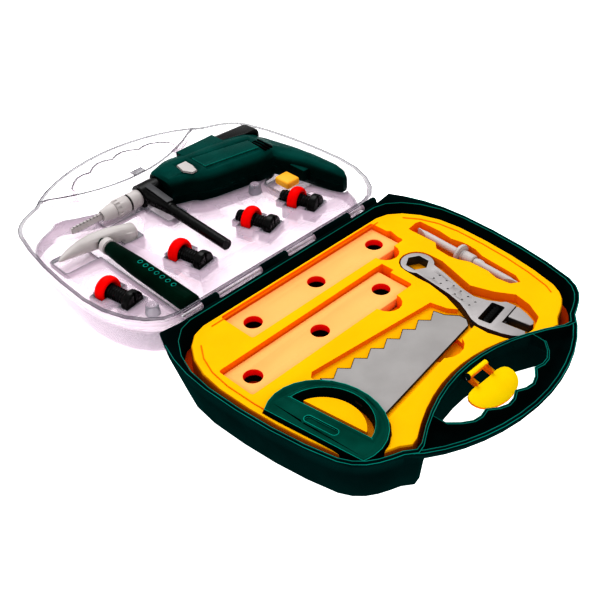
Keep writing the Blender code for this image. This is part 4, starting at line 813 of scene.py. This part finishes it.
@dataclass(frozen=True)
class Line:
    """A fine bead along the sharp upper edges of a node, painted as a line of highlight for bright finishes and of
    shade for dark ones.

    Args:
        above: the least height in metres of those edges.
        radius: the bead's radius.
        sharp: the least angle in degrees that counts as an edge.
        share: how far the bead is drawn in towards the middle.
        sink: how far the bead is sunk below those edges.
        clear: how far from the hinge the bead starts.
    """

    above: float
    radius: float
    sharp: float = 40.0
    share: float = 1.0
    sink: float = 0.0
    clear: float = 0.0

    def lay(self, node: str, finish: Finish) -> None:
        """Lay the bead on a node, if the node has such edges.

        Args:
            node: the node's name.
            finish: finish of the bead.
        """
        wire = Bench.wire(node, node + "_edges", self.above, self.sharp)
        if not wire.data.edges:
            bpy.data.objects.remove(wire, do_unlink=True)
            return
        Bench.drop_corners(wire, lambda point: abs(point.y) < self.clear)
        made = Bench.bead(wire, self.radius)
        if self.share < 1.0:
            Bench.shrink(made, (self.share, self.share))
        made.data.transform(Matrix.Translation((0.0, 0.0, -self.sink)))
        dress(made, finish, body_of_node(node))


@dataclass(frozen=True)
class Pad:
    """A box with rounded edges.

    Args:
        low: its lowest corner in millimetres.
        high: its highest corner in millimetres.
        rounding: width of its rounded edges in millimetres.
        segments: faces across the rounding.
    """

    low: Point
    high: Point
    rounding: float
    segments: int = 2

    def model(self, name: str, home: Matrix) -> bpy.types.Object:
        """Model the box in a frame.

        Args:
            name: name of the new object.
            home: the frame.

        Returns:
            The box.
        """
        low, high = (tuple(value * MM for value in corner) for corner in (self.low, self.high))
        made = Bench.block(name, low, high)
        Bench.soften(made, self.rounding * MM, self.segments)
        return Bench.place(made, home)


def tool_frame(x: float, y: float, z: float, degrees: float) -> Matrix:
    """A frame at a point in metres, turned about the vertical by an angle in degrees."""
    return Matrix.Translation((x, y, z)) @ Matrix.Rotation(math.radians(degrees), 4, "Z")


@dataclass
class Case:
    """The dark base shell, its tray and the latch."""

    rim: Line = Line(51.0 * MM, 0.55 * MM, share=0.9965, sink=0.12 * MM, clear=7.0 * MM)
    tray_edge: float = 0.8 * MM
    pin_edge: float = 0.2 * MM
    line: float = 0.6 * MM
    line_above: float = 45.0 * MM
    line_share: tuple[float, float] = (0.960, 0.947)
    line_end: float = -262.0 * MM
    line_side: float = 146.0 * MM
    line_rear: float = -30.0 * MM

    def build(self) -> None:
        """Dress the base and what is fixed to it."""
        refine("base_shell", CASE_GREEN, whole_faces=False)
        # A bead on the rim in bright teal: a painted highlight line.
        self.rim.lay("base_shell", CASE_HIGHLIGHT)
        # The tray carries orange and red painted shade in its wells.
        refine("tool_tray", TRAY_YELLOW, self.tray_edge, 3, whole_faces=False)
        self._tray_line()
        # The latch carries orange painted shade on its sides.
        refine("latch", LATCH_YELLOW)
        for node in ("hinge_pin", "latch_pin"):
            refine(node, STEEL, self.pin_edge)

    def _tray_line(self) -> None:
        """Run a fine raised line round the tray a little inside its border, in orange painted shade."""
        wire = Bench.wire("tool_tray", "tray_line_shade", self.line_above)
        with Bench.edit(wire, False) as shape:
            max(shape.verts, key=lambda corner: corner.co.x).select_set(True)
            bmesh.update_edit_mesh(wire.data)
            bpy.ops.mesh.select_linked()
            bpy.ops.mesh.select_all(action="INVERT")
            bpy.ops.mesh.delete(type="VERT")
        Bench.shrink(wire, self.line_share)
        Bench.drop_corners(wire, self._off_line)
        dress(Bench.bead(wire, self.line), TRAY_LINE_SHADE, "base")

    def _off_line(self, point: Vector) -> bool:
        """Tell whether a point lies where the tray has no raised line."""
        inner = abs(point.x) < self.line_side and point.y < self.line_rear
        return inner or point.y < self.line_end


@dataclass
class Planks:
    """The two cream planks, with red painted shade on their hole walls and black painted shade at the hole bottoms.
    """

    centres: dict[str, tuple[float, float]]
    spacing: float = 90.0 * MM
    hole: float = 9.75 * MM
    hole_slack: float = 1.02
    steep: float = 0.3
    edge: float = 0.5 * MM
    edge_angle: float = 50.0

    def build(self) -> None:
        """Dress both planks and paint shade into their holes: red walls going black at the bottom."""
        for node, centre in self.centres.items():
            made = Bench.copy_of(node, node + "_form", False)
            Bench.add_slots(made, 2)
            with Bench.edit(made, False):
                # The hole walls take the red and black painted shade.
                Bench.paint(made, 1, lambda face, middle=centre: self._in_hole(face, middle))
            Bench.soften(made, self.edge, angle=self.edge_angle)
            dress(made, (PLANK_CREAM, PLANK_HOLE_SHADE), body_of_node(node), [node])

    def _in_hole(self, face: bmesh.types.BMFace, centre: tuple[float, float]) -> bool:
        """Tell whether a face lines one of the holes of the plank with this centre."""
        point = face.calc_center_median()
        near = min(math.hypot(point.x - centre[0] - i * self.spacing, point.y - centre[1]) for i in (-1, 0, 1))
        return abs(face.normal.z) < self.steep and near < self.hole * self.hole_slack


@dataclass
class Saw:
    """The saw with its toothed blade and its bow shaped handle."""

    rim: float = 1.7 * MM
    step: float = 0.7 * MM
    depth: float = 1.0 * MM
    top: float = 49.5 * MM
    flat: float = 0.95
    blade_line: Line = Line(42.5 * MM, 0.35 * MM, 60.0)
    grip_line: Line = Line(47.5 * MM, 0.4 * MM, 25.0)

    def build(self) -> None:
        """Dress the blade and cut the channel into the handle's top."""
        # The blade's steep sides are near black: painted shade.
        refine("saw_blade", BLADE_GREY)
        # A near black bead along the blade's teeth: painted shade.
        self.blade_line.lay("saw_blade", SHADE_LINE)
        # A bead along the handle's top edges in bright teal: a painted highlight line.
        self.grip_line.lay("saw_handle", GRIP_HIGHLIGHT)
        made = Bench.copy_of("saw_handle", "saw_handle_form", False)
        with Bench.edit(made, False):
            Bench.choose_faces(
                made, lambda face: face.normal.z > self.flat and face.calc_center_median().z > self.top
            )
            bpy.ops.mesh.inset(thickness=self.rim, depth=0.0)
            bpy.ops.mesh.inset(thickness=self.step, depth=-self.depth)
        # The handle's walls and low parts darken: painted shade.
        dress(made, GRIP_GREEN, body_of_node("saw_handle"), ["saw_handle"], 35.0)


@dataclass
class Wrench:
    """The adjustable wrench with its dimpled shank and its worm."""

    shank: Matrix
    head: Matrix
    line: Line = Line(42.0 * MM, 0.3 * MM, 60.0)
    shank_top: float = 5.0 * MM
    dimple: float = 1.15 * MM
    dimple_depth: float = 0.8 * MM
    first: float = 31.0 * MM
    columns: int = 6
    pitch: float = 11.0 * MM
    rows: tuple[float, float] = (-3.3 * MM, 4.7 * MM)
    worm_core: float = 4.1 * MM
    worm_radius: float = 5.2 * MM
    worm_length: float = 28.0 * MM
    worm_lead: float = 4.0 * MM
    worm_start: float = 0.45

    def build(self) -> None:
        """Dress body and jaw, press the dimples and wind the worm."""
        body = Bench.copy_of("wrench_body", "wrench_body_form")
        self._press_dimples(body)
        # The wrench body and jaw have near black side walls: painted shade.
        dress(body, FLAT_SILVER, "wrench", ["wrench_body"])
        refine("wrench_jaw", FLAT_SILVER)
        # Beads along the top edges in near black: painted shade lines.
        for node in ("wrench_body", "wrench_jaw"):
            self.line.lay(node, SILVER_SHADE_EDGE)
        refine("wrench_pin", STEEL)
        self._wind_worm()

    def _press_dimples(self, body: bpy.types.Object) -> None:
        """Press two rows of round dimples into the top of the wrench's shank."""
        low, high = self.shank_top - self.dimple_depth, self.shank_top + MM
        tools = []
        for i in range(self.columns):
            x = self.first + i * self.pitch
            for y in self.rows:
                pin = Bench.cylinder("dimple", self.dimple, (x, y, low), (x, y, high), 16)
                tools.append(Bench.place(pin, self.shank))
        Bench.carve(body, tools)

    def _wind_worm(self) -> None:
        """Model the worm as a core with a screw thread."""
        half = self.worm_length / 2
        core = Bench.cylinder("wrench_worm_form", self.worm_core, (0, 0, -half), (0, 0, half))
        crest = self.worm_radius - self.worm_core
        turns = int((self.worm_length - self.worm_lead) / self.worm_lead)
        low = -half + self.worm_lead * self.worm_start
        winding = Bench.thread("worm_thread", self.worm_core, crest, self.worm_lead, low, turns)
        worm = Bench.join(core, winding)
        Bench.place(worm, self.head @ Matrix.Rotation(math.radians(-90), 4, "X"))
        # The worm's black is painted shade: it sits in shadow inside the wrench's window.
        dress(worm, BLACK, "wrench_worm", ["wrench_worm"])


@dataclass
class Driver:
    """The double ended driver bit with its flange."""

    edge: float = 0.3 * MM

    def build(self) -> None:
        """Dress the shaft and the ring, with painted shade on their rounded edges."""
        refine("driver_shaft", SHADE_EDGED_SILVER, self.edge)
        refine("driver_ring", SHADE_EDGED_SILVER, self.edge, 1)


@dataclass
class Lid:
    """The clear lid and its insert."""

    rim: Line = Line(51.0 * MM, 0.35 * MM, share=0.9970, sink=0.12 * MM, clear=7.0 * MM)
    well: Line = Line(15.0 * MM, 0.35 * MM, 50.0)
    steep: float = 0.6
    flat: float = 0.9

    def build(self) -> None:
        """Dress the clear pieces: sheets, with grey painted shade on the insert's steep walls and darker painted
        shade on the rim and edges.
        """
        for node in ("lid_shell", "lid_insert"):
            made = Bench.copy_of(node, node + "_form", False)
            Bench.add_slots(made, 3)
            with Bench.edit(made, False):
                # Steep insert walls take grey painted shade; flat rim faces take darker painted shade.
                Bench.paint(made, 1, lambda face: abs(face.normal.z) < self.steep)
                Bench.paint(made, 2, self._on_rim)
            walls = CLEAR_WALL_SHADE if node == "lid_insert" else CLEAR
            dress(made, (CLEAR, walls, CLEAR_EDGE_SHADE), body_of_node(node), [node])
        # The beads on the lid's rim and along the insert's wells carry painted shade.
        self.rim.lay("lid_shell", CLEAR_EDGE_SHADE)
        self.well.lay("lid_insert", CLEAR_WALL_SHADE)

    def _on_rim(self, face: bmesh.types.BMFace) -> bool:
        """Tell whether a face lies flat on the rim."""
        return face.calc_center_median().z > self.rim.above and face.normal.z > self.flat


@dataclass
class Drill:
    """The toy drill in the lid."""

    home: Matrix
    edge: float = 0.4 * MM
    bit_edge: float = 0.25 * MM
    panel_line: Line = Line(58.5 * MM, 0.35 * MM, 50.0, 0.995)
    trigger: Pad = Pad((109.0, -115.0, -6.6), (129.5, -91.5, 3.4), 2.6, 4)
    web: Pad = Pad((136.4, -115.0, -6.6), (147.0, -90.5, 8.4), 1.0, 3)
    ridge: Pad = Pad((45.3, -19.3, 6.0), (104.0, 16.2, 23.9), 1.2, 3)
    plate: Pad = Pad((-4.6, -22.0, -0.6), (4.6, 22.0, 0.6), 0.4)
    plate_spot: Point = (-15.7 * MM, -24.0 * MM, 10.9 * MM)
    plate_lean: float = 6.4
    vents: int = 3
    vent_first: float = 122.5 * MM
    vent_pitch: float = 4.6 * MM
    vent_low: tuple[float, float] = (-64.0 * MM, 22.6 * MM)
    vent_size: Point = (1.7 * MM, 26.0 * MM, 2.6 * MM)

    def build(self) -> None:
        """Dress every piece of the drill and add its vents and the plate on its collar."""
        # The casing's walls and lower sides darken to near black: painted shade.
        for node in ("drill_casing_upper", "drill_casing_lower"):
            refine(node, DRILL_GREEN)
        refine("battery_door", DRILL_GREEN)
        # The panel's rounded edges are bright teal: painted highlight.
        refine("drill_panel", (PANEL_GREEN, DRILL_HIGHLIGHT), self.edge)
        # The window's rounded edges are near black: painted shade.
        refine("drill_window", (SILVER, SHADE_LINE), self.edge)
        # Among these, the spine's black is painted shade on the casing's top, which turns away from the light.
        for node in ("drill_spine", "drill_side_handle", "battery_1", "battery_2"):
            refine(node, BLACK)
        for node in ("motor", "drill_spindle", "motor_pinion", *(f"drill_screw_{i}" for i in range(1, 5))):
            refine(node, STEEL)
        # A bead on the panel's edges in bright teal: a painted highlight line.
        self.panel_line.lay("drill_panel", DRILL_HIGHLIGHT)
        self._chuck()
        self._vents()
        lean = Matrix.Translation(self.plate_spot) @ Matrix.Rotation(math.radians(self.plate_lean), 4, "X")
        dress(self.plate.model("collar_plate", self.home @ lean), PLATE_GREY, "drill")
        dress(self.trigger.model("trigger_form", self.home), ORANGE, "trigger", ["drill_trigger"])
        dress(self.web.model("grip_web", self.home), DRILL_GREEN, "drill")
        dress(self.ridge.model("casing_ridge", self.home), DRILL_GREEN, "drill")

    def _chuck(self) -> None:
        """Dress the turning parts."""
        # The silver chuck parts carry painted shade on their rounded edges.
        refine("chuck_body", SHADE_EDGED_SILVER, self.edge)
        refine("chuck_band", BLACK)
        refine("chuck_ring", SHADE_EDGED_SILVER, self.edge, 1)
        refine("chuck_nose", SHADE_EDGED_SILVER, self.edge)
        refine("drill_bit", SHADE_EDGED_SILVER, self.bit_edge, 1)

    def _vents(self) -> None:
        """Lay dark bars across the casing behind the panel: painted shade standing in for the air slots."""
        bars = []
        for i in range(self.vents):
            low = (self.vent_first + self.vent_pitch * i, *self.vent_low)
            high = [place + size for place, size in zip(low, self.vent_size)]
            bars.append(Bench.block("drill_vents", low, high))
        vents = Bench.place(Bench.join(*bars), self.home)
        dress(vents, SHADE_LINE, "drill")


@dataclass
class Hammer:
    """The hammer in the lid."""

    home: Matrix
    collar_edge: float = 0.3 * MM
    ring_height: float = 10.8 * MM
    ring_radius: float = 2.6 * MM
    ring_bead: float = 0.55 * MM
    dimples: int = 7
    dimple_pitch: float = 9.8 * MM
    first_dimple: float = -140.8 * MM

    def build(self) -> None:
        """Dress the hammer and lay a row of rings on its grip, in a bright teal painted highlight."""
        refine("hammer_head", SILVER)
        # The collar's rounded edges carry painted shade.
        refine("hammer_collar", SHADE_EDGED_SILVER, self.collar_edge)
        refine("hammer_grip", HAMMER_GREEN)
        rings = []
        for i in range(self.dimples):
            ring = Bench.ring("grip_rings", self.ring_radius, self.ring_bead, sides=24)
            spot = (0.0, self.first_dimple + i * self.dimple_pitch, self.ring_height)
            rings.append(Bench.place(ring, self.home @ Matrix.Translation(spot)))
        # The rings are bright teal: painted highlights round the grip's dimples.
        dress(Bench.join(*rings), GRIP_HIGHLIGHT, "hammer")


@dataclass
class Bolts:
    """The four black bolts and their red nuts."""

    places: Sequence[tuple[float, float, float, float]]
    axis_height: float = 24.5 * MM
    core: float = 7.6 * MM
    radius: float = 8.4 * MM
    length: float = 40.0 * MM
    head_radius: float = 12.8 * MM
    head_length: float = 10.0 * MM
    head_rounding: float = 2.2 * MM
    slot_half: float = 1.2 * MM
    slot_reach: float = 20.0 * MM
    root: float = 0.5 * MM
    tip_rounding: float = 0.8 * MM
    pitch: float = 3.4 * MM
    thread_start: float = 1.7 * MM
    nut_radius: float = 16.0 * MM
    nut_width: float = 13.0 * MM
    nut_gap: float = 0.3 * MM

    def build(self) -> None:
        """Model one bolt and one nut and place a copy of each at every spot."""
        bolt, nut = self._bolt(), self._nut()
        for i, (x, y, degrees, run) in enumerate(self.places, 1):
            turn = tool_frame(x, y, self.axis_height, degrees) @ Matrix.Rotation(math.radians(-90), 4, "X")
            made = Bench.twin(bolt, f"bolt_{i}_form", turn)
            dress(made, BLACK, f"bolt_{i}", [f"bolt_{i}"])
            made = Bench.twin(nut, f"nut_{i}_form", turn @ Matrix.Translation((0.0, 0.0, run)))
            dress(made, RED, f"nut_{i}", [f"nut_{i}"])
        for master in (bolt, nut):
            bpy.data.objects.remove(master, do_unlink=True)

    def _bolt(self) -> bpy.types.Object:
        """A slotted round head below the origin, on a threaded shank up the Z axis."""
        head = Bench.cylinder("bolt_master", self.head_radius, (0, 0, -self.head_length), (0, 0, 0), 64)
        Bench.soften(head, self.head_rounding, 4)
        low = (-self.slot_half, -self.slot_reach, -self.head_length - MM)
        high = (self.slot_half, self.slot_reach, self.head_rounding - self.head_length)
        Bench.carve(head, [Bench.block("slot", low, high)])
        shank = Bench.cylinder("shank", self.core, (0, 0, -self.root), (0, 0, self.length))
        Bench.soften(shank, self.tip_rounding)
        turns = int((self.length - self.pitch) / self.pitch)
        crest = self.radius - self.core
        winding = Bench.thread("bolt_thread", self.core, crest, self.pitch, self.thread_start, turns)
        return Bench.join(head, shank, winding)

    def _nut(self) -> bpy.types.Object:
        """A thick round ring about the Z axis."""
        bore = self.radius + self.nut_gap
        middle, half = (self.nut_radius + bore) / 2, (self.nut_radius - bore) / 2
        return Bench.ring("nut_master", middle, half, self.nut_width / 2 / half, 72)


@dataclass(frozen=True)
class Studio:
    """The pale floor, the soft lights and the camera of the photograph.

    Args:
        focus: the point that the camera looks at, in metres.
        distance: how far the camera stands from it.
        back: direction from the focus to the camera.
        roll: turn of the picture in degrees.
        lens: focal length in millimetres.
        sensor: width of the sensor in millimetres.
        floor: width of the floor in metres.
        drop: how far the floor lies under the case.
        glow: how much the floor shines by itself.
        surround: strength of the world's light.
    """

    focus: Point = (-0.0287, -0.0554, 0.0395)
    distance: float = 1.0324
    back: Point = (-0.5351, -0.5708, 0.6227)
    roll: float = -2.631
    lens: float = 60.58
    sensor: float = 36.0
    floor: float = 14.0
    drop: float = 0.2 * MM
    glow: float = 0.80
    surround: float = 0.54

    def build(self) -> None:
        """Set up floor, world, lights and camera."""
        self._floor()
        self._world()
        self._light("key_light", (0.5, 0.9, 1.9), size=1.6, power=19.0)
        self._light("fill_light", (-1.3, -0.9, 1.3), size=1.4, power=3.0)
        self._camera()

    def _floor(self) -> None:
        """A wide pale floor just under the case."""
        bpy.ops.object.select_all(action="DESELECT")
        bpy.ops.mesh.primitive_plane_add(size=self.floor, location=(0.0, 0.0, -self.drop))
        floor = bpy.context.active_object
        floor.name = "studio_floor"
        pale = bpy.data.materials.new("studio_floor")
        pale.use_nodes = True
        fill(pale.node_tree.nodes["Principled BSDF"], {
            "Base Color": (0.96, 0.96, 0.96, 1.0),
            "Roughness": 0.9,
            "Specular IOR Level": 0.0,
            "Emission Color": (1.0, 1.0, 1.0, 1.0),
            "Emission Strength": self.glow,
        })
        floor.data.materials.append(pale)

    def _world(self) -> None:
        """An even white surround."""
        world = bpy.data.worlds.new("studio")
        world.use_nodes = True
        fill(world.node_tree.nodes["Background"], {"Color": (1.0, 1.0, 1.0, 1.0), "Strength": self.surround})
        scene = bpy.context.scene
        scene.world = world
        scene.view_settings.view_transform = "Standard"
        scene.view_settings.look = "High Contrast"

    def _light(self, name: str, place: Point, size: float, power: float) -> None:
        """A large soft lamp that faces the case.

        Args:
            name: name of the lamp.
            place: where it hangs.
            size: its width in metres.
            power: its power in watts.
        """
        lamp = bpy.data.lights.new(name, "AREA")
        lamp.shape = "DISK"
        lamp.size = size
        lamp.energy = power
        holder = bpy.data.objects.new(name, lamp)
        bpy.context.scene.collection.objects.link(holder)
        holder.location = place
        holder.rotation_euler = Vector(place).to_track_quat("Z", "Y").to_euler()

    def _camera(self) -> None:
        """The camera at the photograph's angle."""
        back = Vector(self.back).normalized()
        right = Vector((0.0, 0.0, 1.0)).cross(back).normalized()
        upward = back.cross(right)
        turn = math.radians(self.roll)
        side = right * math.cos(turn) + upward * math.sin(turn)
        top = upward * math.cos(turn) - right * math.sin(turn)
        place = Matrix((side, top, back)).transposed().to_4x4()
        place.translation = Vector(self.focus) + back * self.distance
        data = bpy.data.cameras.new("photo_camera")
        data.lens = self.lens
        data.sensor_width = self.sensor
        data.clip_end = 20.0
        camera = bpy.data.objects.new("photo_camera", data)
        bpy.context.scene.collection.objects.link(camera)
        camera.matrix_world = place
        bpy.context.scene.camera = camera


def main() -> None:
    """Dress the tool box from the base to the smallest bolt and set up the studio."""
    logging.basicConfig(level=logging.INFO, format="%(message)s")
    wrench = tool_frame(95.0 * MM, -107.0 * MM, 40.0 * MM, -101.0)
    wrench_head = wrench @ tool_frame(108.0 * MM, 6.0 * MM, 0.0, 20.0)
    bolts = (
        (-138.3 * MM, 92.0 * MM, 9.0, 31.0 * MM),
        (-41.0 * MM, 90.8 * MM, 10.0, 29.0 * MM),
        (58.2 * MM, 86.1 * MM, 15.0, 22.5 * MM),
        (123.0 * MM, 79.0 * MM, 16.0, 20.0 * MM),
    )
    planks = {"plank_rear": (4.9 * MM, -45.7 * MM), "plank_front": (-49.1 * MM, -104.1 * MM)}
    for part in (
        Case(),
        Planks(planks),
        Saw(),
        Wrench(wrench, wrench_head),
        Driver(),
        Lid(),
        Drill(tool_frame(13.0 * MM, 232.4 * MM, 33.2 * MM, 0.0)),
        Hammer(tool_frame(-98.5 * MM, 200.0 * MM, 30.0 * MM, -1.2)),
        Bolts(bolts),
    ):
        part.build()
    Studio().build()


if __name__ == "__main__":
    main()
